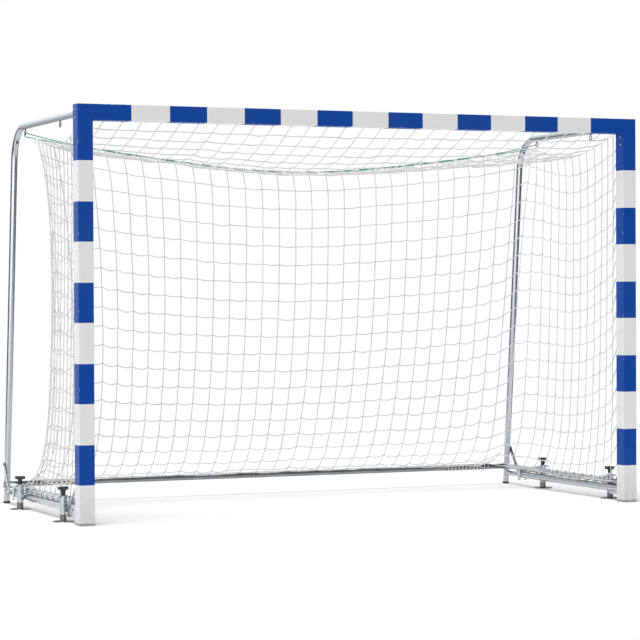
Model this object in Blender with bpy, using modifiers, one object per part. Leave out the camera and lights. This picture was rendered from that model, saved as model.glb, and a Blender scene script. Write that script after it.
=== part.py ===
"""Handball goal with banded aluminium frame, net hoops, ground frame, net and screw clamps.

Metres, +Z up. The origin lies on the floor, midway across the width and the depth.
The mouth faces -Y. Depths are given from the front face of the posts.
"""

import math

import bmesh
import bpy
import numpy as np
from mathutils import Vector

# Clearance between pieces that touch
FIT = 0.0003

# Goal mouth and the square profile round it
MOUTH_WIDTH = 3.0
MOUTH_HEIGHT = 2.0
PROFILE = 0.080
PROFILE_WALL = 0.003
PROFILE_ROUND = 0.004
GROOVE_MOUTH = 0.008
GROOVE_CHAMBER = 0.014
GROOVE_LIP = 0.0025
GROOVE_DEPTH = 0.0085
CORNER_BAND = 0.280
BAND = 0.200

# Plastic caps under the posts
FOOT_CAP_HEIGHT = 0.013
FOOT_PLUG_LENGTH = 0.045

# Cast angle inside each top corner, and its screws
CONNECTOR_ARM = 0.190
CONNECTOR_WALL = 0.006
SCREW_SHANK_RADIUS = 0.003
SCREW_HOLE_RADIUS = 0.0035
SCREW_HEAD_RADIUS = 0.0055
SCREW_HEAD_HEIGHT = 0.003
OUTER_SCREW_DROPS = (0.029, 0.067)
INNER_SCREW_DROPS = (0.018, 0.057)
OUTER_SCREW_DEPTH = 0.040
INNER_SCREW_DEPTH = 0.025

# Net hoops
HOOP_RADIUS = 0.0175
HOOP_WALL = 0.0025
HOOP_BEND_RADIUS = 0.190
TOP_SETBACK = 1.250
FOOT_SETBACK = 1.455
HOOP_SIDE_RESOLUTION = 6
HOOP_BEND_STEPS = 6
HOOP_BOLT_STEP = 3.5

# Brackets that hold the hoops on the posts
TOP_FLANGE_WIDTH = 0.072
TOP_FLANGE_HEIGHT = 0.060
TOP_FLANGE_PLATE = 0.006
TOP_SOCKET_WALL = 0.004
TOP_SOCKET_LENGTH = 0.060
TOP_BOLT_SPACING = 0.058

# Bolts with hexagon heads
BOLT_HEAD_RADIUS = 0.0065
BOLT_HEAD_HEIGHT = 0.0045
BOLT_INSET = 0.001

# Rear legs with their rubber caps
LEG_RADIUS = 0.01685
LEG_CAP_WALL = 0.002
LEG_CAP_HEIGHT = 0.012
LEG_CAP_FLOOR = 0.004
LEG_SHOULDER = 0.0880
SPIGOT_RADIUS = 0.0145
SPIGOT_LENGTH = 0.110
STUB_RADIUS = 0.01345
STUB_INSERTION = 0.058

# Flat braces between hoop and leg stub
BRACE_WIDTH = 0.022
BRACE_PLATE = 0.005
BRACE_TOP = 0.215
BRACE_FOOT_SETBACK = 1.325

# Ground rails
RAIL_RADIUS = 0.019
RAIL_WALL = 0.0025
RAIL_HEIGHT = 0.066
RAIL_REAR = 1.268
RAIL_END_PLATE = 0.006

# Angle brackets between rail and post
FRONT_BRACKET_PLATE = 0.005
FRONT_BRACKET_HEIGHT = 0.067
FRONT_BRACKET_CENTRE = 0.062
FRONT_BRACKET_REACH = 0.178
FRONT_BOLT_SETBACK = 0.170
FRONT_FLANGE_INSIDE = 0.013
FRONT_FLANGE_TOP = 0.215
STRUT_PLATE = 0.005
STRUT_WIDTH = 0.016
STRUT_OVERLAP = 0.001
STRUT_FOOT = (0.236, 0.074)
STRUT_TOP = 0.200

# Net frame tubes on top of the rails
FRAME_TUBE_RADIUS = 0.015
FRAME_TUBE_WALL = 0.0025
FRAME_TUBE_HEIGHT = 0.105
SIDE_TUBE_FRONT = 0.190
CORNER_RING_RADIUS = 0.021
CORNER_RING_HEIGHT = 0.0335
CORNER_SPIGOT_LENGTH = 0.050
CORNER_HOLE_INSIDE = 0.032
CORNER_HOLE_RADIUS = 0.0035

# Forks that hold the side tubes over the rails
FORK_SETBACK = 1.247
FORK_WIDTH = 0.030
FORK_PLATE = 0.004
FORK_FOOT = 0.033

# Screw clamps beside the rails
CLAMP_SETBACKS = {"front": 0.284, "rear": 1.061}
SLEEVE_RADIUS = 0.018
SLEEVE_WALL = 0.0045
SLEEVE_TOP = 0.1293
FLOOR_PLATE_RADIUS = 0.0545
FLOOR_PLATE_EDGE = 0.0025
FLOOR_PLATE_THICKNESS = 0.004
FLOOR_PLATE_BEVEL = 0.0025
FLOOR_BOSS_RADIUS = 0.015
FLOOR_BOSS_TOP = 0.036
FLOOR_BORE_BOTTOM = 0.006
SPINDLE_RADIUS = 0.006
SPINDLE_BOTTOM = 0.0065
SPINDLE_COLLAR_RADIUS = 0.009
SPINDLE_COLLAR_HEIGHT = 0.003
CLAMP_PLATE = 0.0045
CLAMP_PLATE_DEPTH = 0.040
CLAMP_FOOT = 0.010
CLAMP_HOLE_CLEARANCE = 0.0006
KNOB_RADIUS = 0.029
KNOB_LOBES = 5
KNOB_LOBE_DEPTH = 0.009
KNOB_HEAD_HEIGHT = 0.016
KNOB_HUB_HEIGHT = 0.026
KNOB_HUB_FOOT_RADIUS = 0.0105
KNOB_HUB_TOP_RADIUS = 0.0135
KNOB_TOP_WALL = 0.006
KNOB_EDGE = 0.003

# Hooks under the hoops
FRONT_HOOK_SETBACK = 0.420
REAR_HOOK_TO_BEND = 0.0282
HOOK_WIRE_RADIUS = 0.0025
HOOK_RING_RADIUS = 0.0125
HOOK_STEM = 0.006

# Cord that carries the back edge of the top net
CORD_RADIUS = 0.0025
CORD_LOOP_RADIUS = 0.010
CORD_LOOP_POINTS = 5
CORD_PARTING = 0.30
CORD_ROUTE = (
    (0.000, 1.8150),
    (0.150, 1.8170),
    (0.310, 1.8255),
    (0.470, 1.8395),
    (0.630, 1.8560),
    (0.790, 1.8745),
    (0.950, 1.8945),
    (1.110, 1.9155),
    (1.240, 1.9345),
    (1.350, 1.9515),
    (1.450, 1.9675),
)

# Net
NET_CORD = 0.004
NET_TOP_DROP = 0.035
NET_CORNER_INSET = 0.070
NET_FOOT_INSET = 0.140
NET_DRAW = 0.105
NET_DRAW_POWER = 0.75
NET_BACK_BOW = 0.050
NET_TOP_SAG = 0.040
NET_TURN_START = 1.200
NET_JOINT_GAP = 0.0012
NET_GAP = 0.0015
NET_LACE_GAP = 0.0006
BACK_GAPS = (10, 8)
TOP_GAPS = (10, 4)
SIDE_GAPS = (5, 8)

# Lacing of the side nets round the side tubes
LACE_RADIUS = 0.002
LACE_TURNS = 10
LACE_CLAMP_SPAN_TURNS = 8
LACE_POINTS_PER_TURN = 12
LACE_START_TURNS = 0.75

# Roundness of turned and bent pieces
TUBE_SIDES = 16
PLATE_SIDES = 20
KNOB_POINTS_PER_LOBE = 8
RING_SIDES = 12
WIRE_SIDES = 6
BOLT_SIDES = 6
SMALL_SIDES = 10
SMOOTH_ANGLE = math.radians(35)

# Places that follow from the sizes above
POST_X = (MOUTH_WIDTH + PROFILE) / 2
OUTER_X = MOUTH_WIDTH / 2 + PROFILE
OUTER_HEIGHT = MOUTH_HEIGHT + PROFILE
ARM_HEIGHT = MOUTH_HEIGHT + PROFILE / 2
LEG_CAP_RADIUS = LEG_RADIUS + LEG_CAP_WALL
DEPTH = FOOT_SETBACK + LEG_CAP_RADIUS
HOOP_LEAN = math.atan((FOOT_SETBACK - TOP_SETBACK) / ARM_HEIGHT)
HOLLOW_HALF = PROFILE / 2 - PROFILE_WALL
GROOVE_FLOOR = GROOVE_DEPTH + PROFILE_WALL
INSERT_DEPTH = PROFILE - PROFILE_WALL - GROOVE_FLOOR - 2 * FIT
REAR_FACE = PROFILE + FIT
RING_FOOT = LEG_SHOULDER + FIT
RING_TOP = RING_FOOT + CORNER_RING_HEIGHT
HOOP_FOOT = RING_TOP + FIT
CORNER_SETBACK = FOOT_SETBACK - FRAME_TUBE_HEIGHT * math.tan(HOOP_LEAN)
RING_REACH = CORNER_RING_RADIUS + CORNER_RING_HEIGHT / 2 * math.tan(HOOP_LEAN) + 2 * FIT
FRAME_BORE = FRAME_TUBE_RADIUS - FRAME_TUBE_WALL
CLAMP_X = POST_X + RAIL_RADIUS + SLEEVE_RADIUS + FIT
CLAMP_UNDERSIDE = SLEEVE_TOP + FIT
CLAMP_TOP = CLAMP_UNDERSIDE + CLAMP_PLATE
KNOB_FOOT = CLAMP_TOP + FIT
KNOB_TOP = KNOB_FOOT + KNOB_HUB_HEIGHT + KNOB_HEAD_HEIGHT
SPINDLE_TOP = KNOB_TOP - KNOB_TOP_WALL - FIT
HOOP_TURN = math.pi / 2 - HOOP_LEAN
HOOP_TANGENT = HOOP_BEND_RADIUS * math.tan(HOOP_TURN / 2)
REAR_HOOK_SETBACK = TOP_SETBACK - HOOP_TANGENT - REAR_HOOK_TO_BEND
HOOK_SETBACKS = {"front": FRONT_HOOK_SETBACK, "rear": REAR_HOOK_SETBACK}
HOOK_TOP = ARM_HEIGHT - HOOP_RADIUS - FIT
HOOK_RING_CENTRE = HOOK_TOP - HOOK_STEM - HOOK_RING_RADIUS
HOOK_BAR = HOOK_RING_CENTRE - HOOK_RING_RADIUS
CORD_END_X = POST_X + HOOK_WIRE_RADIUS + FIT + CORD_RADIUS - CORD_LOOP_RADIUS
CORD_ENDS = CORD_ROUTE + ((CORD_END_X, HOOK_BAR - CORD_LOOP_RADIUS),)
CORD_PAIR = 2 * CORD_RADIUS + 2 * FIT
LACE_CHORD = math.cos(math.pi / LACE_POINTS_PER_TURN)
LACE_HELIX_RADIUS = (FRAME_TUBE_RADIUS + FIT + LACE_RADIUS) / LACE_CHORD
NET_FOOT_X = POST_X - LACE_HELIX_RADIUS - LACE_RADIUS - NET_LACE_GAP - NET_CORD / 2
NET_FOOT_SETBACK = CORNER_SETBACK - FRAME_TUBE_RADIUS - NET_CORD / 2 - NET_GAP
NET_CORNER_X = POST_X - NET_CORNER_INSET
NET_FRONT = REAR_FACE + FRONT_BRACKET_PLATE + FIT
NET_TOP_HEIGHT = ARM_HEIGHT - NET_TOP_DROP
NET_SEAM = (NET_CORD + NET_JOINT_GAP) / 2
SIDES = (("left", -1), ("right", 1))


# Collections

def clear_scene():
    for obj in list(bpy.data.objects):
        bpy.data.objects.remove(obj, do_unlink=True)


def new_collection(name):
    collection = bpy.data.collections.new(name)
    bpy.context.scene.collection.children.link(collection)
    return collection


clear_scene()
PARTS = new_collection("handball_goal")
CUTTERS = new_collection("cutters")


# Materials

def plain_material(name, colour, roughness, metallic=0.0):
    material = bpy.data.materials.new(name)
    material.use_nodes = True
    shader = material.node_tree.nodes["Principled BSDF"]
    shader.inputs["Base Color"].default_value = (*colour, 1.0)
    shader.inputs["Roughness"].default_value = roughness
    shader.inputs["Metallic"].default_value = metallic
    return material


def banded_material(name, half_length, both_ends):
    """White paint with blue bands, counted down from the piece's end on its own Z."""
    material = plain_material(name, (0.70, 0.70, 0.71), 0.35)
    nodes = material.node_tree.nodes
    links = material.node_tree.links
    shader = nodes["Principled BSDF"]
    place = nodes.new("ShaderNodeTexCoord")
    split = nodes.new("ShaderNodeSeparateXYZ")
    links.new(place.outputs["Object"], split.inputs[0])

    def number(operation, first, second):
        node = nodes.new("ShaderNodeMath")
        node.operation = operation
        for socket, value in zip(node.inputs, (first, second)):
            if isinstance(value, float):
                socket.default_value = value
            else:
                links.new(value, socket)
        return node.outputs[0]

    from_end = number("SUBTRACT", float(half_length), split.outputs["Z"])
    counted = number("DIVIDE", number("SUBTRACT", from_end, CORNER_BAND), BAND)
    blue_turn = number("PINGPONG", number("FLOOR", counted, 0.0), 1.0)
    blue = number("MAXIMUM", blue_turn, number("LESS_THAN", from_end, CORNER_BAND))
    if both_ends:
        far_corner = number("GREATER_THAN", from_end, 2 * half_length - CORNER_BAND)
        blue = number("MAXIMUM", blue, far_corner)
    mix = nodes.new("ShaderNodeMix")
    mix.data_type = "RGBA"
    links.new(blue, mix.inputs["Factor"])
    mix.inputs["A"].default_value = (0.70, 0.70, 0.71, 1.0)
    mix.inputs["B"].default_value = (0.004, 0.058, 0.32, 1.0)
    links.new(mix.outputs["Result"], shader.inputs["Base Color"])
    return material


ALUMINIUM = plain_material("cast_aluminium", (0.62, 0.63, 0.65), 0.45, 1.0)
GREY_PLASTIC = plain_material("grey_plastic", (0.30, 0.30, 0.31), 0.55)
GALVANISED = plain_material("galvanised_steel", (0.50, 0.53, 0.55), 0.32, 1.0)
ZINC_YELLOW = plain_material("yellow_zinc", (0.62, 0.55, 0.36), 0.28, 1.0)
RUBBER = plain_material("black_rubber", (0.02, 0.02, 0.02), 0.80)
BLACK_PLASTIC = plain_material("black_plastic", (0.015, 0.015, 0.017), 0.40)
NET_WHITE = plain_material("white_net_cord", (0.80, 0.80, 0.79), 0.85)
CORD_GREEN = plain_material("green_cord", (0.05, 0.42, 0.36), 0.75)
DARK_STEEL = plain_material("dark_steel", (0.09, 0.09, 0.09), 0.50, 1.0)


# Modelling helpers

def back(setback):
    """Y of a depth measured from the front face of the posts."""
    return setback - DEPTH / 2


def smooth(mesh):
    mesh.shade_smooth()
    mesh.set_sharp_from_angle(angle=SMOOTH_ANGLE)


def place(name, mesh, material, location=(0, 0, 0), rotation=(0, 0, 0)):
    obj = bpy.data.objects.new(name, mesh)
    obj.location = location
    obj.rotation_euler = rotation
    if material is None:
        CUTTERS.objects.link(obj)
        obj.hide_render = True
        obj.display_type = "WIRE"
    else:
        PARTS.objects.link(obj)
        mesh.materials.clear()
        mesh.materials.append(material)
    return obj


def meshed(obj):
    """The object's evaluated shape as a closed mesh, with the object itself removed."""
    bpy.context.view_layer.update()
    graph = bpy.context.evaluated_depsgraph_get()
    mesh = bpy.data.meshes.new_from_object(obj.evaluated_get(graph))
    bpy.data.objects.remove(obj)
    form = bmesh.new()
    form.from_mesh(mesh)
    bmesh.ops.remove_doubles(form, verts=form.verts, dist=1e-6)
    bmesh.ops.recalc_face_normals(form, faces=form.faces)
    form.to_mesh(mesh)
    form.free()
    smooth(mesh)
    return mesh


def turned(profile, closed=False, steps=TUBE_SIDES):
    """A solid turned about Z from (radius, height) points that run down its outer side."""
    count = len(profile)
    edges = [(i, i + 1) for i in range(count - 1)]
    if closed:
        edges.append((count - 1, 0))
    mesh = bpy.data.meshes.new("profile")
    mesh.from_pydata([(radius, 0, height) for radius, height in profile], edges, [])
    obj = bpy.data.objects.new("turned", mesh)
    CUTTERS.objects.link(obj)
    screw = obj.modifiers.new("Turn", "SCREW")
    screw.steps = steps
    screw.render_steps = steps
    screw.use_merge_vertices = True
    screw.merge_threshold = 1e-5
    return meshed(obj)


def rod(radius, bottom, top, steps=TUBE_SIDES):
    return turned([(0, top), (radius, top), (radius, bottom), (0, bottom)], steps=steps)


def pipe(radius, bore, bottom, top, steps=TUBE_SIDES):
    wall = [(radius, top), (radius, bottom), (bore, bottom), (bore, top)]
    return turned(wall, closed=True, steps=steps)


def box(low, high):
    form = bmesh.new()
    bmesh.ops.create_cube(form, size=1.0)
    size = Vector(high) - Vector(low)
    middle = (Vector(high) + Vector(low)) / 2
    bmesh.ops.scale(form, vec=size, verts=form.verts)
    bmesh.ops.translate(form, vec=middle, verts=form.verts)
    mesh = bpy.data.meshes.new("box")
    form.to_mesh(mesh)
    form.free()
    return mesh


def slab(outlines, thickness, edge=0.0):
    """Flat outlines in XY, filled and extruded about Z = 0, with this much edge rounding."""
    curve = bpy.data.curves.new("outline", "CURVE")
    curve.dimensions = "2D"
    curve.fill_mode = "BOTH"
    curve.extrude = thickness / 2 - edge
    curve.bevel_depth = edge
    curve.offset = -edge
    curve.bevel_resolution = 0
    for points in outlines:
        spline = curve.splines.new("POLY")
        spline.points.add(len(points) - 1)
        for target, (x, y) in zip(spline.points, points):
            target.co = (x, y, 0, 1)
        spline.use_cyclic_u = True
    obj = bpy.data.objects.new("outline", curve)
    CUTTERS.objects.link(obj)
    return meshed(obj)


def bent_tube(points, radius, resolution):
    curve = bpy.data.curves.new("route", "CURVE")
    curve.dimensions = "3D"
    curve.bevel_depth = radius
    curve.bevel_resolution = resolution
    curve.use_fill_caps = True
    spline = curve.splines.new("POLY")
    spline.points.add(len(points) - 1)
    for target, point in zip(spline.points, points):
        target.co = (*point, 1)
    obj = bpy.data.objects.new("route", curve)
    CUTTERS.objects.link(obj)
    return meshed(obj)


def boolean(obj, other, operation):
    modifier = obj.modifiers.new(operation.title(), "BOOLEAN")
    modifier.operation = operation
    modifier.object = other
    modifier.solver = "EXACT"


def cut(obj, mesh, location=(0, 0, 0), rotation=(0, 0, 0)):
    boolean(obj, place(obj.name + "_cutter", mesh, None, location, rotation), "DIFFERENCE")


def join(obj, mesh, location=(0, 0, 0), rotation=(0, 0, 0)):
    boolean(obj, place(obj.name + "_addition", mesh, None, location, rotation), "UNION")


def along_x(sign=1):
    """Rotation that turns local +Z to world +X, or to -X."""
    return (0, sign * math.pi / 2, 0)


def along_y(sign=1):
    """Rotation that turns local +Z to world +Y, or to -Y."""
    return (-sign * math.pi / 2, 0, 0)


def bolt_head():
    return rod(BOLT_HEAD_RADIUS, -BOLT_INSET, BOLT_HEAD_HEIGHT, steps=BOLT_SIDES)


# Square profile with a net groove in its rear face

def rounded_corner(x, y, radius, start, steps=3):
    """Points round a convex corner of a square, anticlockwise from this angle."""
    cx = x - math.copysign(radius, x)
    cy = y - math.copysign(radius, y)
    angles = [start + math.pi / 2 * i / steps for i in range(steps + 1)]
    return [(cx + radius * math.cos(a), cy + radius * math.sin(a)) for a in angles]


def square_outline(half, radius):
    points = rounded_corner(half, half, radius, 0)
    points += rounded_corner(-half, half, radius, math.pi / 2)
    points += rounded_corner(-half, -half, radius, math.pi)
    points += rounded_corner(half, -half, radius, 3 * math.pi / 2)
    return points


def groove_outline():
    """The rear groove, from its right lip round to its left lip."""
    half = PROFILE / 2
    mouth = GROOVE_MOUTH / 2
    chamber = GROOVE_CHAMBER / 2
    right = [(mouth, half), (mouth, half - GROOVE_LIP)]
    right += [(chamber, half - GROOVE_LIP), (chamber, half - GROOVE_DEPTH)]
    return right + [(-x, y) for x, y in reversed(right)]


def profile_section():
    half = PROFILE / 2
    outer = square_outline(half, PROFILE_ROUND)
    corner_points = len(rounded_corner(half, half, PROFILE_ROUND, 0))
    outer[corner_points:corner_points] = groove_outline()
    bump = GROOVE_CHAMBER / 2 + PROFILE_WALL
    floor = half - GROOVE_FLOOR
    wall = HOLLOW_HALF
    inner = [(wall, -wall), (wall, wall), (bump, wall), (bump, floor)]
    inner += [(-bump, floor), (-bump, wall), (-wall, wall), (-wall, -wall)]
    return [outer, inner]


def mitre(obj, sign, towards_post):
    """Cuts the end of a frame member at 45 degrees, half a clearance short of the corner line."""
    half = 2 * PROFILE
    facing = Vector((-sign, 0, 1)).normalized() * (1 if towards_post else -1)
    corner = Vector((sign * POST_X, back(PROFILE / 2), ARM_HEIGHT))
    centre = corner + facing * (half - FIT / 2)
    cut(obj, box((-half,) * 3, (half,) * 3), centre, (0, math.pi / 4, 0))


def screw_places(sign):
    """(X of the wall's outside, X direction outwards, depth, height) of each corner screw."""
    outside = [(sign * OUTER_X, sign, OUTER_SCREW_DEPTH, OUTER_HEIGHT - drop)
               for drop in OUTER_SCREW_DROPS]
    inside = [(sign * MOUTH_WIDTH / 2, -sign, INNER_SCREW_DEPTH, MOUTH_HEIGHT - drop)
              for drop in INNER_SCREW_DROPS]
    return outside + inside


def make_post(side, sign):
    bottom = FOOT_CAP_HEIGHT + FIT
    length = OUTER_HEIGHT - bottom
    middle = bottom + length / 2
    paint = banded_material(side + "_post_paint", length / 2, False)
    mesh = slab(profile_section(), length)
    post = place(side + "_post", mesh, paint, (sign * POST_X, back(PROFILE / 2), middle))
    mitre(post, sign, True)
    for wall_x, outward, depth, height in screw_places(sign):
        drill = rod(SCREW_HOLE_RADIUS, -2 * PROFILE_WALL, 2 * PROFILE_WALL, SMALL_SIDES)
        cut(post, drill, (wall_x, back(depth), height), along_x(outward))


def make_crossbar():
    length = 2 * OUTER_X
    paint = banded_material("crossbar_paint", length / 2, True)
    mesh = slab(profile_section(), length)
    place_at = (0, back(PROFILE / 2), ARM_HEIGHT)
    bar = place("crossbar", mesh, paint, place_at, along_x())
    for _, sign in SIDES:
        mitre(bar, sign, False)


def make_corner_connector(side, sign):
    """Cast angle in the hollow of post and crossbar, with the screws that hold the post."""
    reach = OUTER_X - PROFILE_WALL - FIT
    top = OUTER_HEIGHT - PROFILE_WALL - FIT
    width = 2 * HOLLOW_HALF - 2 * FIT

    def angle(inset):
        inner = width - inset
        points = [(inset, inset), (CONNECTOR_ARM - inset, inset), (CONNECTOR_ARM - inset, inner)]
        points += [(inner, inner), (inner, CONNECTOR_ARM - inset), (inset, CONNECTOR_ARM - inset)]
        return [[(sign * (reach - across), top - down) for across, down in points]]

    front = PROFILE_WALL + FIT
    middle = back(front + INSERT_DEPTH / 2)
    stand = (math.pi / 2, 0, 0)
    casting = place(side + "_corner_connector", slab(angle(0), INSERT_DEPTH), ALUMINIUM,
                    (0, middle, 0), stand)
    pocket = slab(angle(CONNECTOR_WALL), INSERT_DEPTH)
    cut(casting, pocket, (0, middle + CONNECTOR_WALL, 0), stand)
    for wall_x, outward, depth, height in screw_places(sign):
        inner_end = -(PROFILE_WALL + FIT + CONNECTOR_WALL / 2)
        head = SCREW_HEAD_HEIGHT + FIT
        steps = [(0, head), (SCREW_HEAD_RADIUS, head), (SCREW_HEAD_RADIUS, FIT)]
        steps += [(SCREW_SHANK_RADIUS, FIT), (SCREW_SHANK_RADIUS, inner_end), (0, inner_end)]
        screw = turned(steps, steps=SMALL_SIDES)
        join(casting, screw, (wall_x, back(depth), height), along_x(outward))


def make_foot_cap(side, sign):
    base = slab([square_outline(PROFILE / 2, PROFILE_ROUND)], FOOT_CAP_HEIGHT)
    middle = (sign * POST_X, back(PROFILE / 2), FOOT_CAP_HEIGHT / 2)
    cap = place(side + "_post_foot_cap", base, GREY_PLASTIC, middle)
    half = HOLLOW_HALF - FIT
    front = PROFILE_WALL + FIT
    low = (sign * POST_X - half, back(front), FOOT_CAP_HEIGHT / 2)
    high = (sign * POST_X + half, back(front + INSERT_DEPTH), FOOT_CAP_HEIGHT + FOOT_PLUG_LENGTH)
    join(cap, box(low, high))


# Net hoops and what holds them

def hoop_points(start, foot):
    """Centre line of a hoop in (setback, height): along the arm, round the bend and down."""
    centre_y = TOP_SETBACK - HOOP_TANGENT
    centre_z = ARM_HEIGHT - HOOP_BEND_RADIUS
    points = [(start, ARM_HEIGHT)]
    for i in range(HOOP_BEND_STEPS + 1):
        angle = HOOP_TURN * i / HOOP_BEND_STEPS
        points.append((centre_y + HOOP_BEND_RADIUS * math.sin(angle),
                       centre_z + HOOP_BEND_RADIUS * math.cos(angle)))
    points.append((FOOT_SETBACK - foot * math.sin(HOOP_LEAN), foot * math.cos(HOOP_LEAN)))
    return points


def make_hoop(side, sign):
    start = REAR_FACE + TOP_FLANGE_PLATE + FIT
    overrun = HOOP_RADIUS

    def route(first, last):
        return [(sign * POST_X, back(y), z) for y, z in hoop_points(first, last)]

    outside = bent_tube(route(start, HOOP_FOOT), HOOP_RADIUS, HOOP_SIDE_RESOLUTION)
    hoop = place(side + "_net_hoop", outside, GALVANISED)
    bore = bent_tube(route(start - overrun, HOOP_FOOT - overrun), HOOP_RADIUS - HOOP_WALL,
                     HOOP_SIDE_RESOLUTION)
    cut(hoop, bore)


def make_top_bracket(side, sign):
    """Flange on the rear of the post with a socket that the hoop's arm stands in."""
    x = sign * POST_X
    low = (x - TOP_FLANGE_WIDTH / 2, back(REAR_FACE), ARM_HEIGHT - TOP_FLANGE_HEIGHT / 2)
    plate_back = back(REAR_FACE + TOP_FLANGE_PLATE)
    high = (x + TOP_FLANGE_WIDTH / 2, plate_back, ARM_HEIGHT + TOP_FLANGE_HEIGHT / 2)
    bracket = place(side + "_top_bracket", box(low, high), GALVANISED)
    bore = HOOP_RADIUS + 2 * FIT
    socket = rod(bore + TOP_SOCKET_WALL, -TOP_FLANGE_PLATE / 2, TOP_SOCKET_LENGTH)
    join(bracket, socket, (x, plate_back, ARM_HEIGHT), along_y())
    recess = -TOP_FLANGE_PLATE / 4
    cut(bracket, rod(bore, recess, 2 * TOP_SOCKET_LENGTH), (x, plate_back, ARM_HEIGHT), along_y())
    for bolt_side in (-1, 1):
        bolt_x = x + bolt_side * TOP_BOLT_SPACING / 2
        join(bracket, bolt_head(), (bolt_x, plate_back, ARM_HEIGHT), along_y())


def on_hoop_axis(sign):
    """Where pieces stand whose local +Z runs up the leaning hoop from the floor."""
    return (sign * POST_X, back(FOOT_SETBACK), 0), (HOOP_LEAN, 0, 0)


def make_rear_leg(side, sign):
    """Leg under the hoop, with a spigot up into it and a stub forward into the rail."""
    foot, lean = on_hoop_axis(sign)
    leg_bottom = LEG_CAP_FLOOR + LEG_RADIUS * math.tan(HOOP_LEAN) + FIT
    spigot_top = HOOP_FOOT + SPIGOT_LENGTH
    steps = [(0, spigot_top), (SPIGOT_RADIUS, spigot_top), (SPIGOT_RADIUS, LEG_SHOULDER)]
    steps += [(LEG_RADIUS, LEG_SHOULDER), (LEG_RADIUS, leg_bottom), (0, leg_bottom)]
    leg = place(side + "_rear_leg", turned(steps), GALVANISED, foot, lean)
    stub_end = RAIL_REAR - STUB_INSERTION
    stub_start = FOOT_SETBACK - RAIL_HEIGHT * math.tan(HOOP_LEAN)
    stub = rod(STUB_RADIUS, 0, stub_start - stub_end, SMALL_SIDES + 2)
    join(leg, stub, (sign * POST_X, back(stub_end), RAIL_HEIGHT), along_y())
    cap = place(side + "_leg_cap", rod(LEG_CAP_RADIUS, 0, LEG_CAP_HEIGHT), RUBBER, foot)
    pocket = rod(LEG_RADIUS + FIT, leg_bottom - FIT, 3 * LEG_CAP_HEIGHT)
    cut(cap, pocket, foot, lean)


def make_brace(side, sign):
    """Flat bar on the outside, bolted to the hoop above and to the stub below."""
    top = Vector((FOOT_SETBACK - BRACE_TOP * math.sin(HOOP_LEAN), BRACE_TOP * math.cos(HOOP_LEAN)))
    foot = Vector((BRACE_FOOT_SETBACK, RAIL_HEIGHT))
    run = top - foot
    half = BRACE_WIDTH / 2
    slope = math.atan2(run.y, run.x)
    outline = []
    for centre, start in ((top, slope - math.pi / 2), (foot, slope + math.pi / 2)):
        for i in range(SMALL_SIDES // 2 + 1):
            angle = start + math.pi * i / (SMALL_SIDES // 2)
            outline.append((centre.x + half * math.cos(angle), centre.y + half * math.sin(angle)))
    inner_x = POST_X + HOOP_RADIUS + FIT
    flat = [[(sign * (y - DEPTH / 2), z) for y, z in outline]]
    stand = (math.pi / 2, 0, sign * math.pi / 2)
    plane = (sign * (inner_x + BRACE_PLATE / 2), 0, 0)
    brace = place(side + "_brace", slab(flat, BRACE_PLATE), GALVANISED, plane, stand)
    for centre in (top, foot):
        at = (sign * (inner_x + BRACE_PLATE), back(centre.x), centre.y)
        join(brace, bolt_head(), at, along_x(sign))
    spacer_length = HOOP_RADIUS - STUB_RADIUS + BRACE_PLATE / 2
    spacer = rod(BOLT_HEAD_RADIUS, 0, spacer_length)
    at = (sign * (POST_X + STUB_RADIUS + FIT), back(foot.x), foot.y)
    join(brace, spacer, at, along_x(sign))


def make_hoop_bolt(side, sign):
    """Screw through the inside of the hoop's bend, on the middle of one of its flats."""
    step = HOOP_TURN / HOOP_BEND_STEPS
    angle = HOOP_BOLT_STEP * step
    surface = (HOOP_BEND_RADIUS - HOOP_RADIUS) * math.cos(step / 2)
    axis_y = TOP_SETBACK - HOOP_TANGENT + surface * math.sin(angle)
    height = ARM_HEIGHT - HOOP_BEND_RADIUS + surface * math.cos(angle)
    turn = (math.pi - angle, 0, 0)
    at = (sign * POST_X, back(axis_y), height)
    head = BOLT_HEAD_HEIGHT + FIT
    inner_end = -2 * HOOP_WALL
    steps = [(0, head), (BOLT_HEAD_RADIUS, head), (BOLT_HEAD_RADIUS, FIT)]
    steps += [(SCREW_SHANK_RADIUS, FIT), (SCREW_SHANK_RADIUS, inner_end), (0, inner_end)]
    place(side + "_hoop_bolt", turned(steps, steps=SMALL_SIDES), DARK_STEEL, at, turn)
    drill = rod(SCREW_HOLE_RADIUS, 2 * inner_end, 2 * head, SMALL_SIDES)
    cut(bpy.data.objects[side + "_net_hoop"], drill, at, turn)


# Ground rails and the brackets on the posts

def make_ground_rail(side, sign):
    """Open tube with a pierced disc welded in its rear end, where the leg's stub slides in."""
    start = REAR_FACE + FRONT_BRACKET_PLATE + FIT
    length = RAIL_REAR - start
    bore = RAIL_RADIUS - RAIL_WALL
    disc = length - RAIL_END_PLATE
    hole = STUB_RADIUS + FIT
    wall = [(RAIL_RADIUS, length), (RAIL_RADIUS, 0), (bore, 0)]
    wall += [(bore, disc), (hole, disc), (hole, length)]
    at = (sign * POST_X, back(start), RAIL_HEIGHT)
    place(side + "_ground_rail", turned(wall, closed=True), GALVANISED, at, along_y())


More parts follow.
